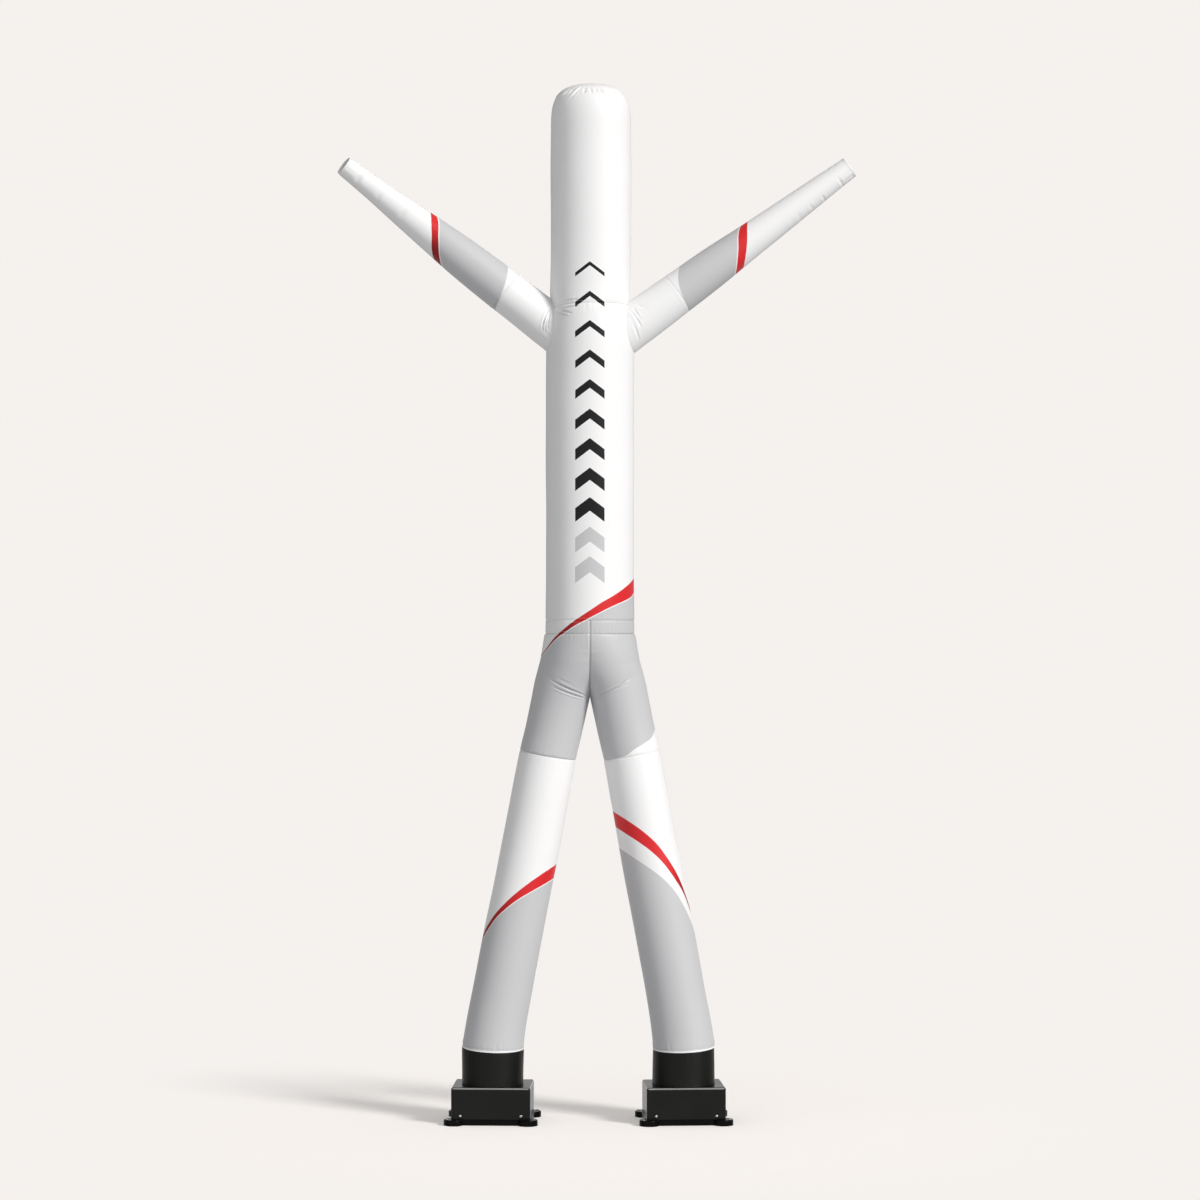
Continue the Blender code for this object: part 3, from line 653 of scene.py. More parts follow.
def new_finish(name):
    """A material, its tree, its Principled shader and the place on the object."""
    made = bpy.data.materials.new(name)
    made.use_nodes = True
    tree = made.node_tree
    place = add_node(tree, "ShaderNodeTexCoord").outputs["Object"]
    return made, tree, tree.nodes["Principled BSDF"], place


def set_shader(tree, shader, **inputs):
    """Fills the shader's sockets, named with _ for each space."""
    feed(tree, shader, {key.replace("_", " "): value for key, value in inputs.items()})


# Prints.


def past_line(tree, reads, measured, line):
    """1 where the cloth lies past a drawn line and 0 before it, with a soft edge.

    reads is the place along the line's table and measured the place across it. The table is
    spread over a Float Curve.
    """
    low, high = line[0][0], line[-1][0]
    values = [value for _, value in line]
    floor, roof = min(values) - LINE_ROOM, max(values) + LINE_ROOM
    share = share_of(tree, reads, low, high)
    drawn = add_node(tree, "ShaderNodeFloatCurve", {"Value": share})
    curve = drawn.mapping.curves[0]
    spots = [((at - low) / (high - low), (value - floor) / (roof - floor)) for at, value in line]
    curve.points[0].location, curve.points[1].location = spots[0], spots[-1]
    for spot in spots[1:-1]:
        curve.points.new(*spot)
    drawn.mapping.update()
    over = calc(tree, "SUBTRACT", measured, ranged(tree, drawn.outputs[0], floor, roof))
    return calc(tree, "MULTIPLY_ADD", over, 1.0 / LINE_SOFT, 0.5, clamp=True)


def chevrons(tree, x, z):
    """Where the column of plain chevrons is drawn, and where it is grey: bold at its foot and
    fine at its top."""
    away = calc(tree, "ABSOLUTE", calc(tree, "SUBTRACT", x, CHEVRON_X))
    inside = calc(tree, "LESS_THAN", away, CHEVRON_HALF_WIDTH)
    low, high = CHEVRON_SPAN
    rise = calc(tree, "MULTIPLY_ADD", away, CHEVRON_SLOPE, calc(tree, "SUBTRACT", z, low))
    place = calc(tree, "DIVIDE", rise, CHEVRON_PITCH)
    step = calc(tree, "FLOOR", place)
    count = (high - low) / CHEVRON_PITCH
    bold, fine = CHEVRON_BAR
    bar = calc(tree, "MULTIPLY_ADD", step, (fine - bold) / count, bold)
    drawn = calc(tree, "LESS_THAN", calc(tree, "FRACT", place), bar)
    above = calc(tree, "GREATER_THAN", step, -0.5)
    below = calc(tree, "LESS_THAN", step, count - 0.5)
    return (
        product(tree, inside, drawn, above, below),
        calc(tree, "LESS_THAN", step, CHEVRON_PALE - 0.5),
    )


def moved(line, by):
    """A print line shifted across its table, which leaves room for white piping."""
    return tuple((at, value + by) for at, value in line)


# Layers of the print, first to last: the colour, the line that it lies past, the line that it
# lies before, and where a red band is bright and where painted shade darkens it along its lines.
SASH_PRINT = (
    ("grey", None, moved(SASH_FOOT, -PIPING_GAP), None),
    ("red", SASH_FOOT, SASH_TOP, (-0.030, -0.175)),
)
PRINTS = {
    "plain": (),
    "trunk": SASH_PRINT,
    "hips_left": SASH_PRINT,
    "hips_right": (*SASH_PRINT, ("white", None, RIGHT_THIGH_FOOT, None)),
    "leg_left": (
        ("grey", None, moved(LEFT_BAND_FOOT, -PIPING_GAP), None),
        ("red", LEFT_BAND_FOOT, LEFT_BAND_TOP, (-0.440, -0.620)),
    ),
    "leg_right": (
        ("grey", None, RIGHT_GREY_TOP, None),
        ("red", RIGHT_BAND_FOOT, RIGHT_BAND_TOP, (0.425, 0.500)),
    ),
    "sleeve_left": (
        ("grey", moved(LEFT_STRIPE_IN, PIPING_GAP), LEFT_GREY_IN, None),
        ("red", LEFT_STRIPE_OUT, LEFT_STRIPE_IN, (5.165, 5.040)),
    ),
    "sleeve_right": (
        ("grey", RIGHT_GREY_IN, moved(RIGHT_STRIPE_IN, -PIPING_GAP), None),
        ("red", RIGHT_STRIPE_IN, RIGHT_STRIPE_OUT, None),
    ),
}


def printed(tree, kind, light, colours):
    """The cloth's colour with its print laid over it, read from the print map, with painted shade
    darkening the red bands towards their shaded ends.
    """
    x, z = uv_place(tree, "print")
    reads, measured = (z, x) if kind.startswith("sleeve") else (x, z)
    for colour, past, before, shaded_over in PRINTS[kind]:
        shares = [past_line(tree, reads, measured, past)] if past else []
        if before:
            beyond = past_line(tree, reads, measured, before)
            shares.append(calc(tree, "SUBTRACT", 1.0, beyond))
        shade = getattr(colours, colour)
        # Painted shade: the red darkens towards the end of its band that lies in shade.
        if shaded_over:
            share = share_of(tree, reads, *shaded_over)
            shade = blend_colour(tree, share, shade, colours.shaded_red)
        light = blend_colour(tree, product(tree, *shares), light, shade)
    if kind == "trunk":
        mark, pale = chevrons(tree, x, z)
        shade = blend_colour(tree, pale, colours.ink, colours.grey)
        light = blend_colour(tree, mark, light, shade)
    return light


# Finishes.


def weave_height(tree):
    """The height of a fine plain weave with a thicker thread every few millimetres."""
    waves, ribs = [], []
    for socket in uv_place(tree, "cloth"):
        waves.append(calc(tree, "SINE", calc(tree, "MULTIPLY", socket, math.tau / YARN)))
        turn = calc(tree, "MULTIPLY", socket, math.pi / RIPSTOP)
        ridge = calc(tree, "ABSOLUTE", calc(tree, "COSINE", turn))
        ribs.append(calc(tree, "POWER", ridge, RIPSTOP_SHARP))
    plain = calc(tree, "MULTIPLY", *waves)
    return calc(tree, "MULTIPLY_ADD", plain, WEAVE_SHARE, calc(tree, "MAXIMUM", *ribs))


def cloth_normal(tree, place, crumple):
    """Slow unevenness, fine crumple and weave as bump."""
    normal = bump_on(tree, noise(tree, place, 5.0, 3.0, 0.45), crumple, 0.5)
    normal = bump_on(tree, noise(tree, place, 38.0, 4.0, 0.55), 0.0004, 0.5, normal)
    return bump_on(tree, weave_height(tree), 0.00010, 0.35, normal)


def cloth_finish(kind):
    """Satin nylon with a print: its colours follow the cloth through its print map."""
    name = f"nylon_{kind}"
    if name in bpy.data.materials:
        return bpy.data.materials[name]
    colours = bpy.context.scene.dancer_colours
    made, tree, shader, place = new_finish(name)
    slow = noise(tree, place, 2.3, 2.0)
    light = blend_colour(tree, slow, [c * 0.975 for c in colours.white], colours.white)
    if PRINTS[kind]:
        light = printed(tree, kind, light, colours)
    if kind.startswith("leg"):
        hem = calc(tree, "LESS_THAN", uv_place(tree, "cloth")[1], HEM_WHITE)
        light = blend_colour(tree, hem, light, colours.white)
    set_shader(
        tree, shader, Base_Color=light, Normal=cloth_normal(tree, place, crumple=0.0022),
        Roughness=ranged(tree, noise(tree, place, 11.0, 4.0), 0.38, 0.48),
        Specular_IOR_Level=0.38,
    )
    return made


def cuff_finish():
    """Black coated cloth, a little glossier, with soft dents."""
    colours = bpy.context.scene.dancer_colours
    made, tree, shader, place = new_finish("cuff_cloth")
    cloud = noise(tree, place, 9.0, 4.0)
    set_shader(
        tree, shader, Normal=cloth_normal(tree, place, crumple=0.006),
        Base_Color=blend_colour(tree, cloud, colours.cuff, [c * 1.6 for c in colours.cuff]),
        Roughness=ranged(tree, cloud, 0.34, 0.50), Specular_IOR_Level=0.27,
    )
    return made


def thread_finish():
    """White sewing thread."""
    made, tree, shader, place = new_finish("white_thread")
    fuzz = noise(tree, place, 1400.0, 2.0)
    set_shader(
        tree, shader, Normal=bump_on(tree, fuzz, 0.0001, 0.4), Roughness=0.5, Sheen_Weight=0.2,
        Base_Color=blend_colour(tree, fuzz, [c * 0.8 for c in THREAD_COLOUR], THREAD_COLOUR),
    )
    return made


def plastic_finish(name, low=0.17, shine=0.30, share=1.0):
    """Black moulded plastic with a fine grain, smooth patches and dusty ones, and a highlight
    painted along its rounded top edges.

    low is its least roughness and share its lightness beside the blower's own plastic.
    """
    made, tree, shader, place = new_finish(name)
    patch = noise(tree, place, 6.0, 5.0, 0.6)
    dust = calc(tree, "MULTIPLY_ADD", patch, 2.4, -1.05, clamp=True)
    bare = [c * share for c in bpy.context.scene.dancer_colours.plastic]
    colour = blend_colour(tree, dust, bare, [c * 1.5 + 0.0015 * share for c in bare])
    # A highlight painted along the rounded top edges, where the attribute is set.
    highlit = add_node(tree, "ShaderNodeAttribute", attribute_name="rubbed").outputs["Fac"]
    highlit = calc(tree, "MULTIPLY", highlit, calc(tree, "MULTIPLY_ADD", patch, 0.5, 0.72), clamp=True)
    normal = bump_on(tree, noise(tree, place, 14.0, 2.0), 0.0006, 0.3)
    set_shader(
        tree, shader, Base_Color=blend_colour(tree, highlit, colour, EDGE_HIGHLIGHT_COLOUR),
        Normal=bump_on(tree, noise(tree, place, 900.0, 2.0), 0.00008, 0.4, normal),
        Roughness=ranged(tree, patch, low, low + 0.16), Specular_IOR_Level=shine,
    )
    return made


def steel_finish():
    """Bright plated steel with faint turning marks."""
    made, tree, shader, place = new_finish("plated_steel")
    smear = noise(tree, place, 260.0, 3.0)
    set_shader(
        tree, shader, Normal=bump_on(tree, smear, 0.00004, 0.4), Metallic=1.0,
        Base_Color=blend_colour(tree, smear, (0.62, 0.62, 0.60), (0.78, 0.78, 0.76)),
        Roughness=ranged(tree, smear, 0.16, 0.36),
    )
    return made


# Shape building.


def between(rows, at):
    """The columns of a table at values of its first column, smooth and with no overshoot."""
    table = np.array(sorted(rows), float)
    at = np.asarray(at, float)
    key = table[:, 0]
    gap = np.diff(key)[:, None]
    rise = np.diff(table, axis=0) / gap
    slope = np.zeros_like(table)
    before, after = gap[:-1] + 2 * gap[1:], 2 * gap[:-1] + gap[1:]
    turning = rise[:-1] * rise[1:] <= 0
    safe_low = np.where(turning, 1.0, rise[:-1])
    safe_high = np.where(turning, 1.0, rise[1:])
    mean = (before + after) / (before / safe_low + after / safe_high)
    slope[1:-1] = np.where(turning, 0.0, mean)
    slope[0], slope[-1] = rise[0], rise[-1]
    band = np.clip(np.searchsorted(key, at, side="right") - 1, 0, len(key) - 2)
    width = gap[band]
    t = (at[..., None] - key[band][..., None]) / width
    low, high = table[band], table[band + 1]
    return (
        (1 + 2 * t) * (1 - t) ** 2 * low + t * (1 - t) ** 2 * width * slope[band]
        + t * t * (3 - 2 * t) * high + t * t * (t - 1) * width * slope[band + 1]
    )


def by_length(rows, first=0, second=1):
    """The rows with the running length of one column against another in front."""
    length, keyed = 0.0, []
    for row, last in zip(rows, (rows[0], *rows)):
        length += math.hypot(row[first] - last[first], row[second] - last[second])
        keyed.append((length, *row))
    return keyed


def turns(count):
    """Angles round a whole turn."""
    return math.tau * np.arange(count) / count


def stations(low, high, step, dense=()):
    """Places along a piece: close together at its seams and inside the dense spans."""
    near = [low + d for d in EDGE_STEPS]
    far = [high - d for d in EDGE_STEPS]
    places, at = [], near[-1]
    while at < far[-1]:
        fine = any(start <= at < end for start, end in dense)
        at += FINE_STEP if fine else step
        places.append(at)
    while places and places[-1] > far[-1] - FINE_STEP / 2:
        places.pop()
    return np.array(near + places + far[::-1])


def outward(points, ring):
    """Unit normals of a grid whose columns turn anticlockwise as its rows rise."""
    if ring:
        along = np.roll(points, -1, axis=1) - np.roll(points, 1, axis=1)
    else:
        along = np.gradient(points, axis=1)
    normal = np.cross(along, np.gradient(points, axis=0))
    size = np.linalg.norm(normal, axis=2, keepdims=True)
    return normal / np.maximum(size, 1e-12)


def bell(away, width):
    """1 at no distance, and fading with it."""
    return np.exp(-((away / width) ** 2))


def trough_at(away, width, ridge):
    """A trough of depth 1 with a ridge of a share of it on each side."""
    return ridge * bell(abs(away) - 2 * width, width) - bell(away, width)


def tuck_at(away, cloth):
    """How far a seam at this distance draws the cloth in, and its lap lifts it."""
    lap = bell(away - LAP_WIDTH, 0.5 * cloth.tuck_width)
    return cloth.tuck * (LAP_RISE * lap - bell(away, cloth.tuck_width))


def pucker_at(turn, radius, away, cloth, phase, reach):
    """Small uneven puckers that cross a seam, round a tube by its angle and radius."""
    wave = sum(
        size * np.sin(round(radius * count) * turn + share * phase + start)
        for count, size, share, start in PUCKER_WAVES
    )
    patchy = 0.55 + 0.45 * np.sin(round(radius * PUCKER_PATCHES) * turn + phase)
    near = bell(away, reach) * (1 - bell(away, PUCKER_CLEAR))
    return cloth.pucker * 0.5 * wave * patchy * near


def hem_on(key, angle, away, cloth, right):
    """The roll of an open end's hem, and the puckers past it."""
    width, roll, pucker, radius, reach, phase, grows = HEMS[key]
    past = np.maximum(away - width, 0.0)
    rolled = roll * np.exp(-((2 * away / width - 1) ** 4))
    return rolled + pucker * pucker_at(angle, radius, past, cloth, phase + grows * right, reach)


def sewing_on(key, base, angle, along, length, cloth, right=0):
    """The height field of a piece: its slow swell, and the tucks and puckers of its seams.

    right is 1 for the right-hand piece of a pair.
    """
    *seams, (share, phase, grows) = SEWING[key]
    start = phase + grows * right
    waves = (size * np.sin(base @ rates + part * start) for size, *rates, part in SWELL_WAVES)
    total = 0.5 * cloth.swell * share * sum(waves)
    for seam, away in zip(seams, (along, length - along)):
        if seam:
            tuck, pucker, radius, reach, phase, grows = seam
            wave = pucker_at(angle, radius, away, cloth, phase + grows * right, reach)
            total = total + tuck * tuck_at(away, cloth) + pucker * wave
    return total


def crease_at(x, z, face, path, width, depth):
    """A soft trough along a path of X and Z on one face, with a low ridge on each side."""
    lengths = [math.dist(a, b) for a, b in zip(path, path[1:])]
    best = np.full(x.shape, 1e9)
    share = np.zeros(x.shape)
    done = 0.0
    for (ax, az), (bx, bz), length in zip(path, path[1:], lengths):
        t = ((x - ax) * (bx - ax) + (z - az) * (bz - az)) / length**2
        t = np.clip(t, 0, 1)
        away = np.hypot(x - ax - t * (bx - ax), z - az - t * (bz - az))
        share = np.where(away < best, (done + t * length) / sum(lengths), share)
        best = np.minimum(best, away)
        done += length
    taper = np.sin(math.pi * (CREASE_END + (1 - 2 * CREASE_END) * share)) ** CREASE_TAPER
    height, out, broad = CREASE_RIDGE
    shape = height * bell(best - out * width, broad * width) - bell(best, width)
    return np.where(face, depth * taper * shape, 0.0)


def creases_on(key, points):
    """All creases of a piece, in front and more faintly behind."""
    x, y, z = points[..., 0], points[..., 1], points[..., 2]
    rise, wider, share = BACK_CREASE
    total = np.zeros(x.shape)
    for path, width, depth in CREASES.get(key, ()):
        total += crease_at(x, z, y < 0, path, width, depth)
        back = [(a, b + rise) for a, b in path]
        total += share * crease_at(x, z, y > 0, back, width * wider, depth)
    return total


def link(name, data, finish=None):
    made = bpy.data.objects.new(name, data)
    bpy.context.scene.collection.objects.link(made)
    if finish:
        data.materials.append(finish)
    return made


def mesh_from(name, bm):
    mesh = bpy.data.meshes.new(name)
    bm.to_mesh(mesh)
    bm.free()
    return mesh


def cut_by(piece, other, operation="DIFFERENCE"):
    work = piece.modifiers.new(other.name, "BOOLEAN")
    work.operation, work.solver, work.object = operation, "EXACT", other


def made_plain(piece):
    """Applies the piece's modifiers."""
    graph = bpy.context.evaluated_depsgraph_get()
    mesh = bpy.data.meshes.new_from_object(piece.evaluated_get(graph), depsgraph=graph)
    mesh.name = piece.name
    piece.modifiers.clear()
    piece.data = mesh


def cloth_mesh(name, base, points, closed, top):
    """A mesh over a grid, with a cloth map in metres and a print map on the unworn shape.

    closed is one truth value for each band. top closes the last row with a fan.
    """
    rows, columns = points.shape[:2]
    index = np.arange(rows * columns).reshape(rows, columns)
    beside = np.roll(index, -1, axis=1)
    quads = np.stack((index[:-1], beside[:-1], beside[1:], index[1:]), -1)
    keep = np.ones((rows - 1, columns), bool)
    keep[~np.broadcast_to(closed, rows - 1), -1] = False
    faces = quads[keep].tolist()
    tip = []
    if top is not None:
        tip = [tuple(top)]
        faces += [(int(a), int(b), rows * columns) for a, b in zip(index[-1], beside[-1])]
    mesh = bpy.data.meshes.new(name)
    mesh.from_pydata(points.reshape(-1, 3).tolist() + tip, [], faces)
    across = np.linalg.norm(np.diff(base[0], axis=0, append=base[0, :1]), axis=1)
    along = np.linalg.norm(np.diff(base[:, 0], axis=0), axis=1)
    cloth_u, cloth_v = (np.concatenate(([0.0], np.cumsum(steps))) for steps in (across, along))
    corners = np.zeros(len(mesh.loops), int)
    mesh.loops.foreach_get("vertex_index", corners)
    row, column = np.minimum(corners // columns, rows - 1), corners % columns
    spot = np.arange(len(corners))
    wrapped = (spot % 4 == 1) | (spot % 4 == 2)
    wrapped &= (column == 0) & (spot < 4 * int(keep.sum()))
    woven = np.stack((cloth_u[np.where(wrapped, columns, column)], cloth_v[row]), 1)
    drawn = np.array(base.reshape(-1, 3).tolist() + tip)[corners][:, [0, 2]]
    for label, places in (("cloth", woven), ("print", drawn)):
        mesh.uv_layers.new(name=label).data.foreach_set("uv", places.astype(np.float32).ravel())
    mesh.shade_smooth()
    mesh.update()
    return mesh


# Lines that get a row of stitches: their points, their normals and whether they close.
STITCHED = []


def sewn(name, kind, node, base, height, closed=True, top=None, sideways=1.0,
         cutters=(), rows=STITCHED_ROWS):
    """A cloth piece over a base grid raised by a height field and stitched along its rows,
    with its finish and its body; its node is hidden.

    closed is one truth value, or one for each band. sideways is the share of the height field
    that may move the cloth across X. Returns the cloth's grid and its normals.
    """
    ring = bool(np.all(closed))
    moves = outward(base, ring) * height[..., None]
    moves[..., 0] *= sideways
    points = base + moves
    finish = cuff_finish() if kind == "cuff" else cloth_finish(kind)
    piece = link(name, cloth_mesh(name, base, points, closed, top), finish)
    wall = piece.modifiers.new("Cloth", "SOLIDIFY")
    wall.thickness = bpy.context.scene.dancer_cloth.wall
    wall.offset = -1.0
    wall.use_even_offset = True
    for cutter in cutters:
        cut_by(piece, cutter)
    if cutters:
        made_plain(piece)
    normals = outward(points, ring)
    for row in rows:
        STITCHED.append((points[row], normals[row], ring))
    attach(piece, "root")
    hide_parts(node)
    return points, normals


# The body: trunk, head and cap.


def pleat_at(angle, away, cloth):
    """Uneven pleats across the cap's seam; away is how far the cloth lies above it."""
    dice = np.random.default_rng(PLEAT_SEED)
    pleats = [*FRONT_PLEATS]
    pleats += [[dice.uniform(*limits) for limits in PLEAT_LIMITS] for _ in range(PLEATS)]
    total = np.zeros(np.broadcast(angle, away).shape)
    for middle, wide, deep, far, lean in pleats:
        turn = angle - math.radians(middle - 90) - lean * away
        turn = (turn + math.pi) % math.tau - math.pi
        total += deep * trough_at(turn, wide, PLEAT_RIDGE) * bell(away, far)
    return cloth.pleat * np.clip(total, -1.2, 0.6)


def body_grid(rows, near=0.0, far=0.0):
    """The unworn grid of a body piece, its angles, its distances along the cloth and its
    length. near and far are how much of it is fine at its foot and at its top."""
    keyed = by_length(rows)
    length = keyed[-1][0]
    along = stations(0.0, length, COARSE_STEP, ((0.0, near), (length - far, length)))
    _, height, side, front = between(keyed, along).T[..., None]
    angle = turns(BODY_COLUMNS)
    radius = front + (side - front) * np.cos(angle) ** 2
    x, y = radius * np.cos(angle), radius * np.sin(angle)
    z = height + bell(height - NECK_Z, NECK_SPREAD) * (NECK_SLOPE_X * x + NECK_SLOPE_Y * y)
    shift = HEAD_SHIFT * np.clip((height - HEAD_SHIFT_FROM) / HEAD_SHIFT_OVER, 0, 1)
    return np.stack((TRUNK_X + x + shift, y, z), -1), angle, along[:, None], length


class DANCER_OT_body(bpy.types.Operator):
    """Sews the trunk, the head and its gathered cap"""

    bl_idname = "dancer.body"
    bl_label = "Trunk and head"

    def execute(self, context):
        cloth = context.scene.dancer_cloth
        cutters = [hole_cutter(side) for side in SIDES]

        base, angle, along, length = body_grid(TRUNK_ROWS, far=0.34)
        height = sewing_on("trunk", base, angle, along, length, cloth)
        height += creases_on("trunk", base)
        sewn("trunk_cloth", "trunk", "trunk_tube", base, height, cutters=cutters)

        base, angle, along, length = body_grid(HEAD_ROWS, near=0.12, far=0.16)
        height = sewing_on("head", base, angle, along, length, cloth)
        height += creases_on("head", base) + pleat_at(angle, along - length, cloth)
        sewn("head_cloth", "trunk", "head_tube", base, height, cutters=cutters)

        base, angle, along, length = body_grid(CAP_ROWS, near=0.2)
        height = sewing_on("cap", base, angle, along, length, cloth)
        height += pleat_at(angle, along, cloth)
        top = (TRUNK_X + HEAD_SHIFT, 0.0, CAP_ROWS[-1][0])
        sewn(
            "cap_cloth", "plain", "head_cap", base, height, top=top,
            rows=STITCHED_ROWS[:1],
        )
        for cutter in cutters:
            bpy.data.objects.remove(cutter)
        return {"FINISHED"}


# The waist band and the shorts, each in a left and a right half.


def leg_middle(height):
    return TRUNK_X + FOOT_DRIFT * np.maximum(0.0, 1.0 - height / CROTCH_Z)


def mirrored(points, side):
    """A right-hand grid, or its mirror image with its columns turning the same way."""
    if side == "right":
        return points
    x = 2 * leg_middle(points[..., 2]) - points[..., 0]
    return np.stack((x, points[..., 1], points[..., 2]), -1)[:, ::-1]


def split_grid(side, rows, dense):
    """The unworn grid of one half, its distances along the cloth, its length, the distances
    from its centre seam, how whole that seam is, and which of its bands close."""
    keyed = by_length(sorted(rows, key=lambda row: row[2]), 2, 3)
    along = stations(0.0, keyed[-1][0], COARSE_STEP, dense)
    _, inner_z, inner_x, outer_z, outer_x, depth = between(keyed, along).T[..., None]
    even = np.linspace(SEAM_SHARES[-1], 1 - SEAM_SHARES[-1], SPLIT_COLUMNS)[1:-1]
    share = np.concatenate((SEAM_SHARES, even, 1 - np.array(SEAM_SHARES[::-1])))
    centre, half = (inner_x + outer_x) / 2, (outer_x - inner_x) / 2
    turn = np.minimum(np.arccos(np.clip(-centre / half, -1, 1)), CLOSED_TURN)
    angle = turn * (2 * share - 1)
    width = np.maximum(centre + half * np.cos(angle), HALF_GAP)
    start = np.maximum(inner_x, 0.0)
    z = inner_z + (outer_z - inner_z) * (width - start) / (outer_x - start)
    points = np.stack((leg_middle(z) + width, depth * np.sin(angle), z), -1)
    from_seam = np.minimum(share, 1 - share) * turn * (half + depth)
    whole = (inner_x[:-1, 0] > 0) & (inner_x[1:, 0] > 0)
    if side == "left":
        from_seam = from_seam[:, ::-1]
    open_part = np.clip((inner_z - CROTCH_Z) / CROTCH_FADE, 0, 1)
    return mirrored(points, side), along[:, None], keyed[-1][0], from_seam, open_part, whole


class DANCER_OT_hips(bpy.types.Operator):
    """Sews the halves of the waist band and of the shorts"""

    bl_idname = "dancer.hips"
    bl_label = "Waist and shorts"

    def execute(self, context):
        cloth = context.scene.dancer_cloth
        for side in SIDES:
            for name, rows, below, dense in (
                ("waist_band", BAND_ROWS, f"shorts_{side}", ()),
                ("shorts", SHORTS_ROWS, f"leg_{side}", SHORTS_FINE),
            ):
                base, along, length, from_seam, open_part, whole = split_grid(side, rows, dense)
                turn = np.linspace(-math.pi, math.pi, base.shape[1])
                node = f"{name}_{side}"
                height = sewing_on("hips", base, turn, along, length, cloth)
                height += creases_on(node, base)
                height += open_part * CENTRE_TUCK * tuck_at(from_seam, cloth)
                height += open_part * pucker_at(
                    along / CENTRE_RADIUS, CENTRE_RADIUS, from_seam, cloth, CENTRE_PHASE,
                    CENTRE_REACH,
                )
                points, normals = sewn(
                    f"{name}_cloth_{side}", f"hips_{side}", node, base, height,
                    closed=whole, sideways=1 - bell(from_seam, SEAM_HOLD),
                )
                seam = np.flatnonzero(open_part[:, 0] > 0.99)
                for column in STITCHED_ROWS:
                    STITCHED.append((points[seam, column], normals[seam, column], False))
        return {"FINISHED"}


# Legs and cuffs.


def leg_grid(side):
    keyed = by_length(LEG_ROWS[::-1])
    along = stations(0.0, keyed[-1][0], COARSE_STEP, LEG_FINE)
    _, height, centre, radius, tilt, lean = between(keyed, along).T[..., None]
    angle = turns(LEG_COLUMNS) - math.pi
    reach, y = radius * np.cos(angle), radius * np.sin(angle)
    slope = np.radians(tilt)
    z = height + reach * np.sin(slope) + lean * y
    points = np.stack((leg_middle(z) + centre + reach * np.cos(slope), y, z), -1)
    return mirrored(points, side), angle, along[:, None], keyed[-1][0]


def cuff_grid(side, hem):
    """The unworn grid of a cuff, from the blower's top up to the leg's hem."""
    centre_x = leg_middle(0.0) + (FOOT_X if side == "right" else -FOOT_X)
    floor_z = BOX_TOP_Z + PLATE_GAP
    length = float(hem[:, 2].mean()) - floor_z
    along = stations(0.0, length, COARSE_STEP)[:, None]
    share = 1 - along / length
    flat = hem[:, :2] - (centre_x, 0.0)
    flat /= np.linalg.norm(flat, axis=1, keepdims=True)
    x, y = between(CUFF_ROWS, share)[..., 1] * flat.T[:, None]
    z = (hem[:, 2] - 2 * HALF_GAP) * (1 - share) + floor_z * share
    return np.stack((centre_x + x, y, z), -1), along, length


class DANCER_OT_legs(bpy.types.Operator):
    """Sews the legs and the black cuffs that fasten them to the blowers"""

    bl_idname = "dancer.legs"
    bl_label = "Legs and cuffs"

    def execute(self, context):
        cloth = context.scene.dancer_cloth
        for right, side in enumerate(SIDES):
            base, angle, along, length = leg_grid(side)
            height = sewing_on("leg", base, angle, along, length, cloth, right)
            height += hem_on("leg", angle, along, cloth, right)
            height += HEM_TUCK * tuck_at(along - HEM_TUCK_AT, cloth)
            node = f"leg_{side}"
            sewn(f"leg_cloth_{side}", node, node, base, height)

            base, along, length = cuff_grid(side, base[0])
            height = sewing_on("cuff", base, angle, along, length, cloth, right)
            sewn(
                f"cuff_cloth_{side}", "cuff", f"cuff_{side}", base, height,
                rows=(),
            )
        return {"FINISHED"}


# Arms.


class ArmFrame:
    """An arm's axis, the two directions across it, and its radii."""

    def __init__(self, side):
        arm = ARMS[side]
        rise, back = math.radians(arm["rise"]), math.radians(arm["back"])
        sign = 1.0 if side == "right" else -1.0
        x = sign * math.cos(rise) * math.cos(back)
        axis = Vector((x, math.sin(back) * math.cos(rise), math.sin(rise)))
        across = (Vector((0, 1, 0)) - axis * axis.y).normalized()
        self.axis, self.across = np.array(axis), np.array(across)
        self.up = np.array(across.cross(axis))
        self.origin = np.array((TRUNK_X + arm["root"][0], 0.0, arm["root"][1]))
        self.length = arm["length"]
        self.seam = arm["seam"] * arm["length"]
        self.radii = [(share * arm["length"], radius) for share, radius in arm["radii"]]
        self.slant = arm["mouth_slant"]

    def place(self, distance, radius, angle):
        spoke = np.cos(angle)[..., None] * self.up + np.sin(angle)[..., None] * self.across
        return (
            self.origin + np.asarray(distance)[..., None] * self.axis
            + np.asarray(radius)[..., None] * spoke
        )

    def radius(self, distance):
        return between(self.radii, np.clip(distance, self.radii[0][0], self.length))[..., 1]

    def shoulder(self, angle):
        """The distance at which the arm's line at each angle comes out of the body."""
        inside = np.full(angle.shape, SHOULDER_SEARCH[0])
        outside = np.full(angle.shape, SHOULDER_SEARCH[1])
        for _ in range(20):
            middle = (inside + outside) / 2
            point = self.place(middle, self.radius(middle), angle)
            x, y, z = point[..., 0] - TRUNK_X, point[..., 1], point[..., 2]
            _, side_radius, front_radius = between(TRUNK_ROWS + HEAD_ROWS, z).T
            size = np.hypot(x, y)
            limit = front_radius + (side_radius - front_radius) * (x / size) ** 2
            within = size < limit
            inside = np.where(within, middle, inside)
            outside = np.where(within, outside, middle)
        return outside


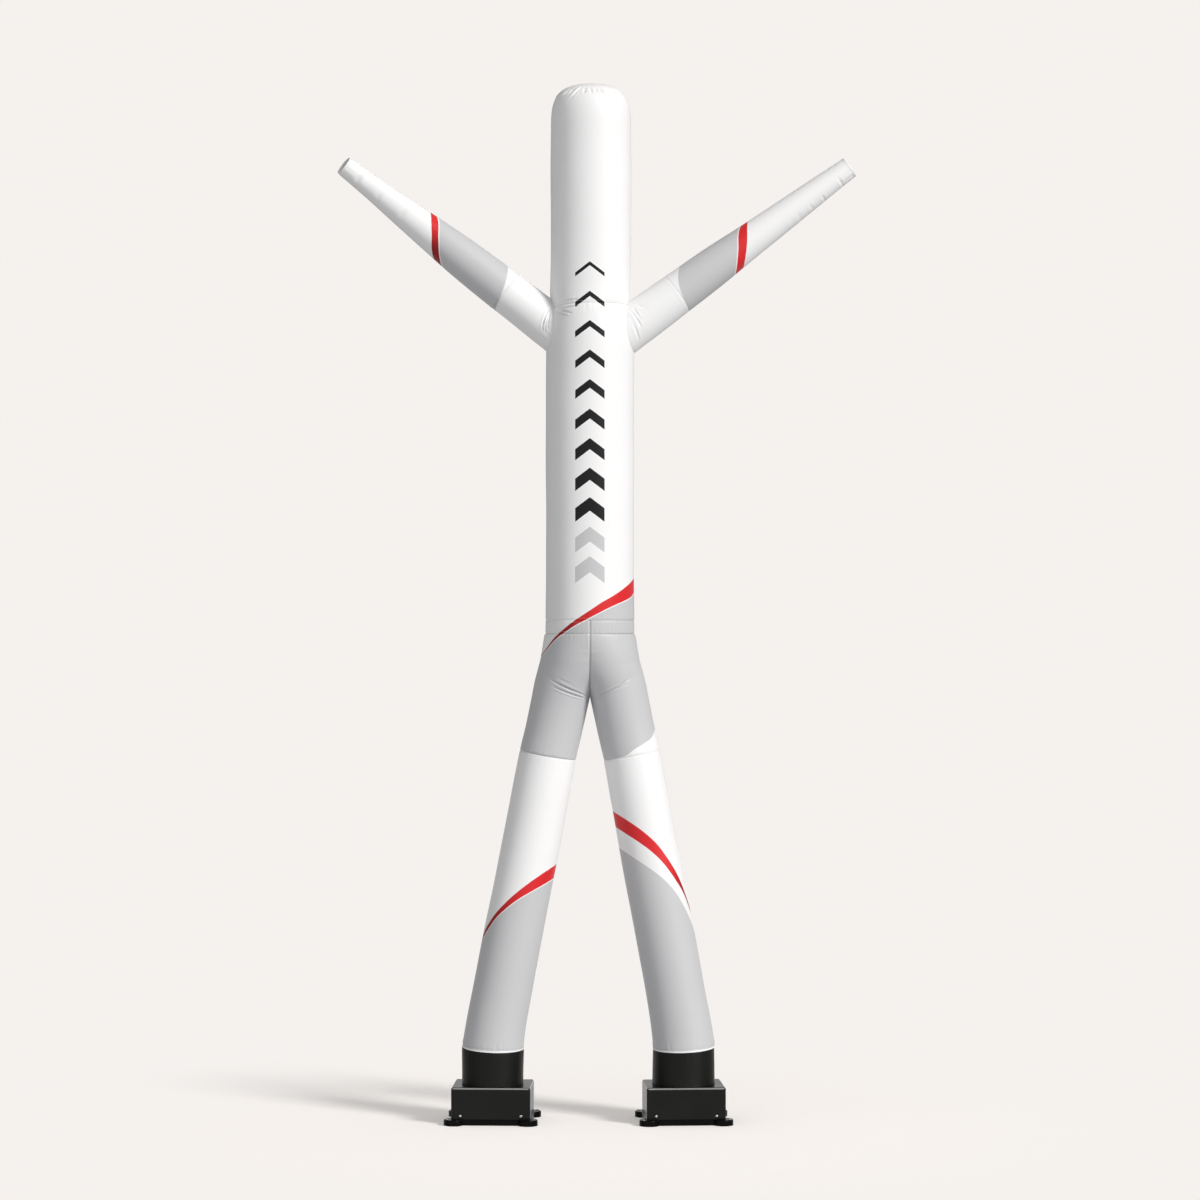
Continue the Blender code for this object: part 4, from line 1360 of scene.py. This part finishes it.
def hole_cutter(side):
    """A closed cylinder where an arm opens into the body."""
    arm = ArmFrame(side)
    angle = turns(ARM_COLUMNS)
    bm = bmesh.new()
    low, high = (
        [bm.verts.new(point) for point in arm.place(end, ARM_HOLE_RADIUS, angle)]
        for end in ARM_HOLE_ENDS
    )
    for here in range(ARM_COLUMNS):
        after = (here + 1) % ARM_COLUMNS
        bm.faces.new((low[here], low[after], high[after], high[here]))
    bmesh.ops.holes_fill(bm, edges=bm.edges)
    bmesh.ops.recalc_face_normals(bm, faces=bm.faces)
    return link(f"arm_hole_{side}", mesh_from(f"arm_hole_{side}", bm))


def dimples_on(side, points):
    """Short puckers across a sleeve."""
    arm = ArmFrame(side)
    x, z = points[..., 0], points[..., 2]
    facing = (points - arm.origin) @ arm.across
    total = np.zeros(x.shape)
    for at_x, at_z, face, wide, tall, depth in DIMPLES[side]:
        along = (x - at_x) * arm.axis[0] + (z - at_z) * arm.axis[2]
        across = (z - at_z) * abs(arm.axis[0]) - (x - at_x) * arm.axis[2] * np.sign(arm.axis[0])
        dent = depth * trough_at(along, wide, DIMPLE_RIDGE) * bell(across, tall)
        total += np.where(facing * face > 0, dent, 0.0)
    return total


class DANCER_OT_arms(bpy.types.Operator):
    """Sews the arms: their roots at the shoulders and the long open sleeves"""

    bl_idname = "dancer.arms"
    bl_label = "Arms"

    def execute(self, context):
        cloth = context.scene.dancer_cloth
        angle = turns(ARM_COLUMNS)
        for right, side in enumerate(SIDES):
            arm, kind = ArmFrame(side), f"sleeve_{side}"
            shoulder = arm.shoulder(angle) - SHOULDER_SINK
            length = float((arm.seam - shoulder).mean())
            along = stations(0.0, length, ROOT_STEP, ROOT_FINE)[:, None]
            distance = shoulder * (1 - along / length) + arm.seam * along / length
            base = arm.place(distance, arm.radius(distance), angle)
            height = sewing_on("arm_root", base, angle, along, length, cloth, right)
            height += creases_on(f"arm_{side}", base)
            sewn(
                f"arm_root_cloth_{side}", kind, f"arm_root_{side}",
                base, height,
            )

            start, end = arm.seam + 2 * HALF_GAP, arm.length
            along = stations(start, end, COARSE_STEP, ((end - SLEEVE_FINE, end),))[:, None]
            near_end = np.clip((along - end) / MOUTH_REACH + 1, 0, 1)
            distance = along + arm.slant * (np.sin(angle) + 0.6) * near_end**2
            base = arm.place(distance, arm.radius(along), angle)
            height = sewing_on("sleeve", base, angle, along - start, 0.0, cloth, right)
            height += hem_on("sleeve", angle, end - along, cloth, right) + dimples_on(side, base)
            sewn(
                f"sleeve_cloth_{side}", kind, f"arm_sleeve_{side}",
                base, height,
            )
        return {"FINISHED"}


# What repeats: stitches and screws, set out by geometry nodes.


def repeat_tree(name, **sockets):
    """A new geometry node group with named inputs, and the outputs of its first node."""
    tree = bpy.data.node_groups.new(name, "GeometryNodeTree")
    face = tree.interface
    face.new_socket("Geometry", in_out="INPUT", socket_type="NodeSocketGeometry")
    for label, kind in sockets.items():
        label = label.replace("_", " ")
        face.new_socket(label, in_out="INPUT", socket_type=f"NodeSocket{kind}")
    face.new_socket("Geometry", in_out="OUTPUT", socket_type="NodeSocketGeometry")
    return tree, add_node(tree, "NodeGroupInput").outputs


def named_out(tree):
    """The direction away from the surface, kept with each point."""
    return add_node(
        tree, "GeometryNodeInputNamedAttribute", {"Name": "out"}, data_type="FLOAT_VECTOR"
    ).outputs[0]


def turned_to(tree, vector, axis, pivot="AUTO", **inputs):
    """A rotation that points one axis at a vector."""
    return add_node(
        tree, "FunctionNodeAlignRotationToVector", {**inputs, "Vector": vector},
        axis=axis, pivot_axis=pivot,
    ).outputs[0]


def random_value(tree, low, high, seed):
    made = add_node(
        tree, "FunctionNodeRandomValue", {"Min": low, "Max": high, "Seed": seed},
        data_type="FLOAT",
    )
    return next(socket for socket in made.outputs if socket.enabled)


def set_out(tree, finish, **inputs):
    """Instances on points, made real and given their finish, as what the group makes."""
    laid = add_node(tree, "GeometryNodeInstanceOnPoints", inputs)
    real = add_node(tree, "GeometryNodeRealizeInstances", {0: laid.outputs[0]})
    done = add_node(
        tree, "GeometryNodeSetMaterial", {"Geometry": real.outputs[0], "Material": finish}
    )
    add_node(tree, "NodeGroupOutput", {0: done.outputs[0]})
    return tree


def stitch_tree():
    """Stitches of uneven length laid along the edges of a mesh."""
    tree, given = repeat_tree(
        "stitch_rows", Pitch="Float", Length="Float", Thread_radius="Float", Seed="Int",
        Finish="Material",
    )
    line = add_node(tree, "GeometryNodeMeshToCurve", {0: given["Geometry"]})
    even = add_node(
        tree, "GeometryNodeResampleCurve", {"Curve": line.outputs[0], "Length": given["Pitch"]},
        mode="LENGTH",
    )
    thread = add_node(tree, "GeometryNodeMeshIcoSphere", {"Radius": 1.0, "Subdivisions": 1})
    smooth = add_node(tree, "GeometryNodeSetShadeSmooth", {0: thread.outputs[0]})
    tangent = add_node(tree, "GeometryNodeInputTangent").outputs[0]
    laid = turned_to(
        tree, named_out(tree), "Z", "X", Rotation=turned_to(tree, tangent, "X")
    )
    factor = random_value(tree, *STITCH_UNEVEN, given["Seed"])
    length = calc(tree, "MULTIPLY", given["Length"], factor)
    radius = given["Thread radius"]
    size = add_node(
        tree, "ShaderNodeCombineXYZ", {0: calc(tree, "MULTIPLY", length, 0.5), 1: radius, 2: radius}
    )
    return set_out(
        tree, given["Finish"], Points=even.outputs[0], Instance=smooth.outputs[0],
        Rotation=laid, Scale=size.outputs[0],
    )


def screw_tree():
    """One screw on each point of a mesh, turned at random about its own axis."""
    tree, given = repeat_tree("screw_points", Screw="Object", Seed="Int", Finish="Material")
    screw = add_node(
        tree, "GeometryNodeObjectInfo", {"Object": given["Screw"]}, transform_space="ORIGINAL"
    )
    angle = random_value(tree, 0.0, math.tau, given["Seed"])
    spin = add_node(
        tree, "FunctionNodeAxisAngleToRotation", {"Axis": (0, 0, 1), "Angle": angle}
    )
    turned = add_node(
        tree, "FunctionNodeRotateRotation",
        {"Rotation": turned_to(tree, named_out(tree), "Z"), "Rotate By": spin.outputs[0]},
        rotation_space="LOCAL",
    )
    points = add_node(tree, "GeometryNodeMeshToPoints", {0: given["Geometry"]})
    return set_out(
        tree, given["Finish"], Points=points.outputs[0], Instance=screw.outputs["Geometry"],
        Rotation=turned.outputs[0],
    )


def repeated(name, places, edges, outs, tree, **inputs):
    """The plain mesh that a node group makes from points with a direction outwards each.

    inputs are the group's inputs, named with _ for each space.
    """
    mesh = bpy.data.meshes.new(name)
    mesh.from_pydata(places, edges, [])
    facing = mesh.attributes.new("out", "FLOAT_VECTOR", "POINT")
    facing.data.foreach_set("vector", np.asarray(outs, np.float32).ravel())
    piece = link(name, mesh)
    work = piece.modifiers.new("Repeat", "NODES")
    work.node_group = tree
    for socket in tree.interface.items_tree:
        key = socket.name.replace(" ", "_")
        if socket.in_out == "INPUT" and key in inputs:
            work[socket.identifier] = inputs[key]
    made_plain(piece)
    return piece


class DANCER_OT_stitches(bpy.types.Operator):
    """Sets the stitches along the seams, each row beside its seam"""

    bl_idname = "dancer.stitches"
    bl_label = "Stitches"

    def execute(self, context):
        cloth = context.scene.dancer_cloth
        places, edges, outs = [], [], []
        for points, normals, closed in STITCHED:
            first, count = len(places), len(points)
            places += (points + normals * cloth.thread * THREAD_RISE).tolist()
            outs += normals.tolist()
            edges += [(first + i, first + i + 1) for i in range(count - 1)]
            if closed:
                edges.append((first + count - 1, first))
        piece = repeated(
            "stitches", places, edges, outs, stitch_tree(), Pitch=cloth.stitch_pitch,
            Length=cloth.stitch_length, Thread_radius=cloth.thread, Seed=STITCH_SEED,
            Finish=thread_finish(),
        )
        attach(piece, "root")
        return {"FINISHED"}


# Blowers.


def outwards(side):
    return 1 if side == "right" else -1


def box_matrix(side):
    """Where a blower stands: its middle on the floor, toed out."""
    turn = math.radians(outwards(side) * TOE_OUT[side])
    x = float(leg_middle(0.0)) + outwards(side) * FOOT_X
    return Matrix.Translation((x, 0.0, 0.0)) @ Matrix.Rotation(turn, 4, "Z")


def corner_name(side, sx, sy):
    across = "in" if sx * outwards(side) < 0 else "out"
    return f"{side}_{'front' if sy < 0 else 'back'}_{across}"


def box_form(size, middle):
    """A bmesh of a box."""
    bm = bmesh.new()
    matrix = Matrix.Translation(middle) @ Matrix.Diagonal((*size, 1))
    bmesh.ops.create_cube(bm, size=1.0, matrix=matrix)
    return bm


def turned_form(name, profile, steps, matrix=Matrix()):
    """A mesh turned about Z from a profile of radius and height."""
    bm = bmesh.new()
    rings = []
    for radius, height in profile:
        if radius == 0:
            rings.append([bm.verts.new((0, 0, height))] * steps)
            continue
        rings.append([
            bm.verts.new((radius * math.cos(a), radius * math.sin(a), height))
            for a in turns(steps)
        ])
    for low, high in zip(rings, rings[1:]):
        for here in range(steps):
            after = (here + 1) % steps
            corners = dict.fromkeys((low[here], low[after], high[after], high[here]))
            if len(corners) > 2:
                bm.faces.new(tuple(corners))
    bmesh.ops.recalc_face_normals(bm, faces=bm.faces)
    bmesh.ops.transform(bm, matrix=matrix, verts=bm.verts)
    return mesh_from(name, bm)


def combined(piece, operation, mesh):
    """Joins a closed mesh to the piece or cuts it out, in the piece's own space."""
    other = link(mesh.name, mesh)
    cut_by(piece, other, operation)
    made_plain(piece)
    bpy.data.objects.remove(other)


def crisp(mesh):
    mesh.shade_smooth()
    mesh.set_sharp_from_angle(angle=math.radians(SHARP_OVER))


def weighted(piece):
    """Even shading over the flat faces beside rounded edges."""
    piece.modifiers.new("Even shading", "WEIGHTED_NORMAL").keep_sharp = True


def face_place(end, face):
    """Where a screw stands on the front or back face of a blower, its Z outwards."""
    turn = Matrix.Rotation(math.radians(-90 * face), 4, "X")
    spot = (end * FACE_SCREW_X, face * BOX_SIZE[1] / 2, FACE_SCREW_Z)
    return Matrix.Translation(spot) @ turn


def housing_piece(side, finish):
    """The moulded box: rounded edges, an outlet collar with a rolled lip, and screw bosses."""
    low = PLATE_THICK + PLATE_GAP
    bm = box_form((*BOX_SIZE, BOX_TOP_Z - low), (0, 0, (BOX_TOP_Z + low) / 2))
    rounded = [e for e in bm.edges if max(v.co.z for v in e.verts) > low + 0.01]
    bmesh.ops.bevel(
        bm, geom=rounded, offset=BOX_EDGE, segments=5, profile=0.5, affect="EDGES"
    )
    name = f"blower_housing_{side}"
    piece = link(name, mesh_from(name, bm), finish)
    combined(piece, "UNION", turned_form(f"collar_{side}", COLLAR_PROFILE, COLLAR_STEPS))
    combined(piece, "DIFFERENCE", turned_form(f"bore_{side}", BORE_PROFILE, COLLAR_STEPS))
    for face in (-1, 1):
        for end in (-1, 1):
            name = f"boss_{corner_name(side, end, face)}"
            boss = turned_form(name, BOSS_PROFILE, BOSS_STEPS, face_place(end, face))
            combined(piece, "UNION", boss)
    crisp(piece.data)
    # Marks where a highlight is painted along the box's top edges.
    paint_edge_highlight(piece.data)
    piece.data.transform(box_matrix(side))
    weighted(piece)
    return piece


def paint_edge_highlight(mesh):
    """An attribute that is 1 where a highlight is painted on the rounded top edges of a box."""
    spots = np.empty(len(mesh.vertices) * 3, dtype=np.float32)
    mesh.vertices.foreach_get("co", spots)
    x, y, z = spots.reshape(-1, 3).T
    rise = (z - BOX_TOP_Z + BOX_EDGE) / BOX_EDGE
    turn = np.degrees(np.arcsin(np.clip(rise, 0, 1)))
    over_side = abs(x) > BOX_SIZE[0] / 2 - BOX_EDGE + 1e-4
    over_front = abs(y) > BOX_SIZE[1] / 2 - BOX_EDGE + 1e-4
    highlit = np.interp(turn, *zip(*EDGE_HIGHLIGHT_AT)) * (over_side ^ over_front)
    rubbed = mesh.attributes.new("rubbed", "FLOAT", "POINT")
    rubbed.data.foreach_set("value", highlit.astype(np.float32))


def plate_outline():
    """A base plate seen from above: straight sides and a round ear at each corner."""
    past_side = math.degrees(math.acos(EAR_INSET[0] / EAR_RADIUS))
    past_front = math.degrees(math.acos(EAR_INSET[1] / EAR_RADIUS))
    points = []
    for turned, (sx, sy) in enumerate(((1, 1), (-1, 1), (-1, -1), (1, -1))):
        x = sx * (BOX_SIZE[0] / 2 + PLATE_MARGIN - EAR_INSET[0])
        y = sy * (BOX_SIZE[1] / 2 + PLATE_MARGIN - EAR_INSET[1])
        before, after = (past_side, past_front) if sx == sy else (past_front, past_side)
        first, last = 90 * turned - before, 90 * turned + 90 + after
        for step in range(EAR_STEPS + 1):
            angle = math.radians(first + (last - first) * step / EAR_STEPS)
            spot = (x + EAR_RADIUS * math.cos(angle), y + EAR_RADIUS * math.sin(angle), 0.0)
            points.append(spot)
    return points


def plate_piece(side, finish):
    """The base plate with rounded rims above and below."""
    bm = bmesh.new()
    face = bm.faces.new([bm.verts.new(point) for point in plate_outline()])
    raised = bmesh.ops.extrude_face_region(bm, geom=[face])
    top = [item for item in raised["geom"] if isinstance(item, bmesh.types.BMVert)]
    bmesh.ops.translate(bm, verts=top, vec=(0, 0, PLATE_THICK))
    bmesh.ops.recalc_face_normals(bm, faces=bm.faces)
    for high, offset, segments in ((True, PLATE_EDGE, 4), (False, PLATE_FOOT_EDGE, 2)):
        rim = [
            e for e in bm.edges
            if all((v.co.z > PLATE_THICK / 2) == high for v in e.verts)
            and abs(e.calc_face_angle(0.0)) > 1.0
        ]
        bmesh.ops.bevel(
            bm, geom=rim, offset=offset, segments=segments, profile=0.5, affect="EDGES"
        )
    mesh = mesh_from(f"blower_plate_{side}", bm)
    mesh.transform(box_matrix(side))
    crisp(mesh)
    piece = link(mesh.name, mesh, finish)
    weighted(piece)
    return piece


def screw_head():
    """A pan-head screw with a cross recess, standing on Z."""
    head = link("screw_head", turned_form("screw_head", SCREW_PROFILE, SCREW_STEPS))
    for name, wide, deep in (
        ("slot_x", SLOT_REACH, SLOT_HALF), ("slot_y", SLOT_HALF, SLOT_REACH),
    ):
        slot = box_form((wide * 2, deep * 2, SLOT_DEPTH * 2), (0, 0, SCREW_TOP))
        combined(head, "DIFFERENCE", mesh_from(name, slot))
    crisp(head.data)
    return head


class DANCER_OT_blowers(bpy.types.Operator):
    """Builds the moulded boxes and base plates of the two blowers"""

    bl_idname = "dancer.blowers"
    bl_label = "Blowers"

    def execute(self, context):
        boxes = plastic_finish("moulded_plastic")
        plates = plastic_finish("plate_plastic", low=0.20, shine=0.12, share=0.35)
        for side in SIDES:
            for piece, node in (
                (housing_piece(side, boxes), f"housing_{side}"),
                (plate_piece(side, plates), f"base_plate_{side}"),
            ):
                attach(piece, "root")
                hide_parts(node)
        return {"FINISHED"}


class DANCER_OT_screws(bpy.types.Operator):
    """Sets the screws in the blowers' faces and in the ears of their base plates"""

    bl_idname = "dancer.screws"
    bl_label = "Screws"

    def execute(self, context):
        up = Vector((0, 0, 1))
        places, outs, nodes = [], [], []
        for side in SIDES:
            stand = box_matrix(side)
            for sx, sy in ((-1, -1), (-1, 1), (1, -1), (1, 1)):
                label = corner_name(side, sx, sy)
                face = stand @ face_place(sx, sy)
                ear_x = sx * (BOX_SIZE[0] / 2 + EAR_SCREW_OUT[0])
                ear_y = sy * (BOX_SIZE[1] / 2 + EAR_SCREW_OUT[1])
                places += [
                    face @ Vector((0, 0, BOSS_PROUD - BOSS_SINK + PLATE_GAP)),
                    stand @ Vector((ear_x, ear_y, PLATE_THICK + PLATE_GAP)),
                ]
                outs += [face.to_3x3() @ up, up]
                nodes += [f"face_screw_{label}", f"ear_screw_{label}"]
        head = screw_head()
        piece = repeated(
            "screws", places, [], outs, screw_tree(), Screw=head, Seed=SCREW_SEED,
            Finish=steel_finish(),
        )
        bpy.data.objects.remove(head)
        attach(piece, "root")
        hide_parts(*nodes)
        return {"FINISHED"}


# The studio.


def studio_light(scene):
    """The pale backdrop as the camera sees it, and a soft light of its own from each side."""
    studio = scene.dancer_studio
    scene.world = bpy.data.worlds.new("studio")
    scene.world.use_nodes = True
    tree = scene.world.node_tree
    tree.nodes.clear()
    place = add_node(tree, "ShaderNodeTexCoord").outputs["Generated"]
    parts = add_node(tree, "ShaderNodeSeparateXYZ", {0: place})
    share = 0.0
    for part, before, after in zip(
        parts.outputs, (studio.left, studio.front, studio.below),
        (studio.right, studio.back, studio.above),
    ):
        rising = calc(tree, "MAXIMUM", part, 0.0)
        falling = calc(tree, "MINIMUM", part, 0.0)
        share = calc(tree, "MULTIPLY_ADD", rising, after, share)
        share = calc(tree, "MULTIPLY_ADD", falling, -before, share)
    soft = add_node(tree, "ShaderNodeBackground", {"Color": (1, 1, 1, 1), "Strength": share})
    seen = add_node(
        tree, "ShaderNodeBackground", {"Color": (*studio.pale, 1.0), "Strength": 1.0}
    )
    camera_ray = add_node(tree, "ShaderNodeLightPath").outputs["Is Camera Ray"]
    mixed = blend_shader(tree, camera_ray, soft, seen)
    add_node(tree, "ShaderNodeOutputWorld", {"Surface": mixed})


def studio_floor(scene):
    """A very large pale floor that takes a soft shadow."""
    studio = scene.dancer_studio
    seen = (*studio.pale, 1.0)
    mesh = bpy.data.meshes.new("studio_floor")
    corners = [(x * FLOOR_REACH, y * FLOOR_REACH, FLOOR_Z)
               for x, y in ((-1, -1), (1, -1), (1, 1), (-1, 1))]
    mesh.from_pydata(corners, [], [(0, 1, 2, 3)])
    made, tree, shader, place = new_finish("studio_floor")
    grain = noise(tree, place, 0.7, 2.0)
    pale = [c * FLOOR_SHARE for c in studio.pale]
    set_shader(
        tree, shader, Base_Color=blend_colour(tree, grain, [c * 0.997 for c in pale], pale),
        Roughness=1.0, Specular_IOR_Level=0.0, Emission_Strength=FLOOR_GLOW, Emission_Color=seen,
    )
    flat = add_node(tree, "ShaderNodeEmission", {"Color": seen, "Strength": 1.0})
    away = add_node(tree, "ShaderNodeVectorMath", {0: place}, operation="LENGTH")
    near = calc(tree, "SUBTRACT", SHADOW_END, away.outputs["Value"])
    near = calc(tree, "DIVIDE", near, SHADOW_FADE, clamp=True)
    mixed = blend_shader(tree, calc(tree, "POWER", near, SHADOW_POWER), flat, shader)
    feed(tree, tree.nodes["Material Output"], {"Surface": mixed})
    floor = link("studio_floor", mesh, made)
    floor.visible_diffuse = False
    floor.visible_glossy = False
    floor.visible_shadow = False


def studio_lamp(name, kind, turn, **settings):
    light = bpy.data.lights.new(name, kind)
    for key, value in settings.items():
        setattr(light, key, value)
    lamp = link(name, light)
    lamp.rotation_euler = turn
    return lamp


def studio_lamps(scene):
    """The soft key light, high on the right, and a low card behind, which shows in glossy
    plastic and adds nothing to the soft light."""
    studio = scene.dancer_studio
    studio_lamp(
        "key_light", "SUN", Vector(KEY_FROM).to_track_quat("Z", "Y").to_euler(),
        energy=studio.key, angle=studio.key_spread, color=KEY_COLOUR,
    )
    card = studio_lamp(
        "back_card", "AREA", (math.radians(-90), 0.0, 0.0), shape="RECTANGLE",
        size=CARD_SIZE[0], size_y=CARD_SIZE[1], energy=CARD_POWER,
    )
    card.location = CARD_PLACE
    card.visible_diffuse = False
    card.visible_camera = False


def studio_camera(scene):
    studio = scene.dancer_studio
    lens = bpy.data.cameras.new("studio_camera")
    lens.lens = studio.lens
    lens.sensor_width = 36.0
    lens.clip_end = 1000.0
    camera = link("studio_camera", lens)
    camera.location = (TRUNK_X + AIM[0], -studio.distance, AIM[1])
    camera.rotation_euler = (math.radians(90), 0.0, 0.0)
    scene.camera = camera


class DANCER_OT_studio(bpy.types.Operator):
    """Sets up the pale floor, the light and the camera"""

    bl_idname = "dancer.studio"
    bl_label = "Studio"

    def execute(self, context):
        scene = context.scene
        scene.view_settings.view_transform = "Standard"
        studio_light(scene)
        studio_floor(scene)
        studio_lamps(scene)
        studio_camera(scene)
        return {"FINISHED"}


class DANCER_PT_panel(bpy.types.Panel):
    """The dancer's pieces, in the order in which they are made"""

    bl_idname = "DANCER_PT_panel"
    bl_label = "Inflatable dancer"
    bl_space_type = "VIEW_3D"
    bl_region_type = "UI"
    bl_category = "Dancer"

    def draw(self, context):
        for operator in OPERATORS:
            self.layout.operator(operator.bl_idname)
        for group in (context.scene.dancer_cloth, context.scene.dancer_colours,
                      context.scene.dancer_studio):
            box = self.layout.box()
            for name in group.bl_rna.properties.keys():
                if name not in ("rna_type", "name"):
                    box.prop(group, name)


OPERATORS = (
    DANCER_OT_body,
    DANCER_OT_hips,
    DANCER_OT_legs,
    DANCER_OT_arms,
    DANCER_OT_stitches,
    DANCER_OT_blowers,
    DANCER_OT_screws,
    DANCER_OT_studio,
)
CLASSES = (DancerCloth, DancerColours, DancerStudio, *OPERATORS, DANCER_PT_panel)


def register():
    for one in CLASSES:
        bpy.utils.register_class(one)
    bpy.types.Scene.dancer_cloth = PointerProperty(type=DancerCloth)
    bpy.types.Scene.dancer_colours = PointerProperty(type=DancerColours)
    bpy.types.Scene.dancer_studio = PointerProperty(type=DancerStudio)


def unregister():
    del bpy.types.Scene.dancer_cloth
    del bpy.types.Scene.dancer_colours
    del bpy.types.Scene.dancer_studio
    for one in reversed(CLASSES):
        bpy.utils.unregister_class(one)


def main():
    register()
    bpy.ops.dancer.body()
    bpy.ops.dancer.hips()
    bpy.ops.dancer.legs()
    bpy.ops.dancer.arms()
    bpy.ops.dancer.stitches()
    bpy.ops.dancer.blowers()
    bpy.ops.dancer.screws()
    bpy.ops.dancer.studio()


if __name__ == "__main__":
    main()
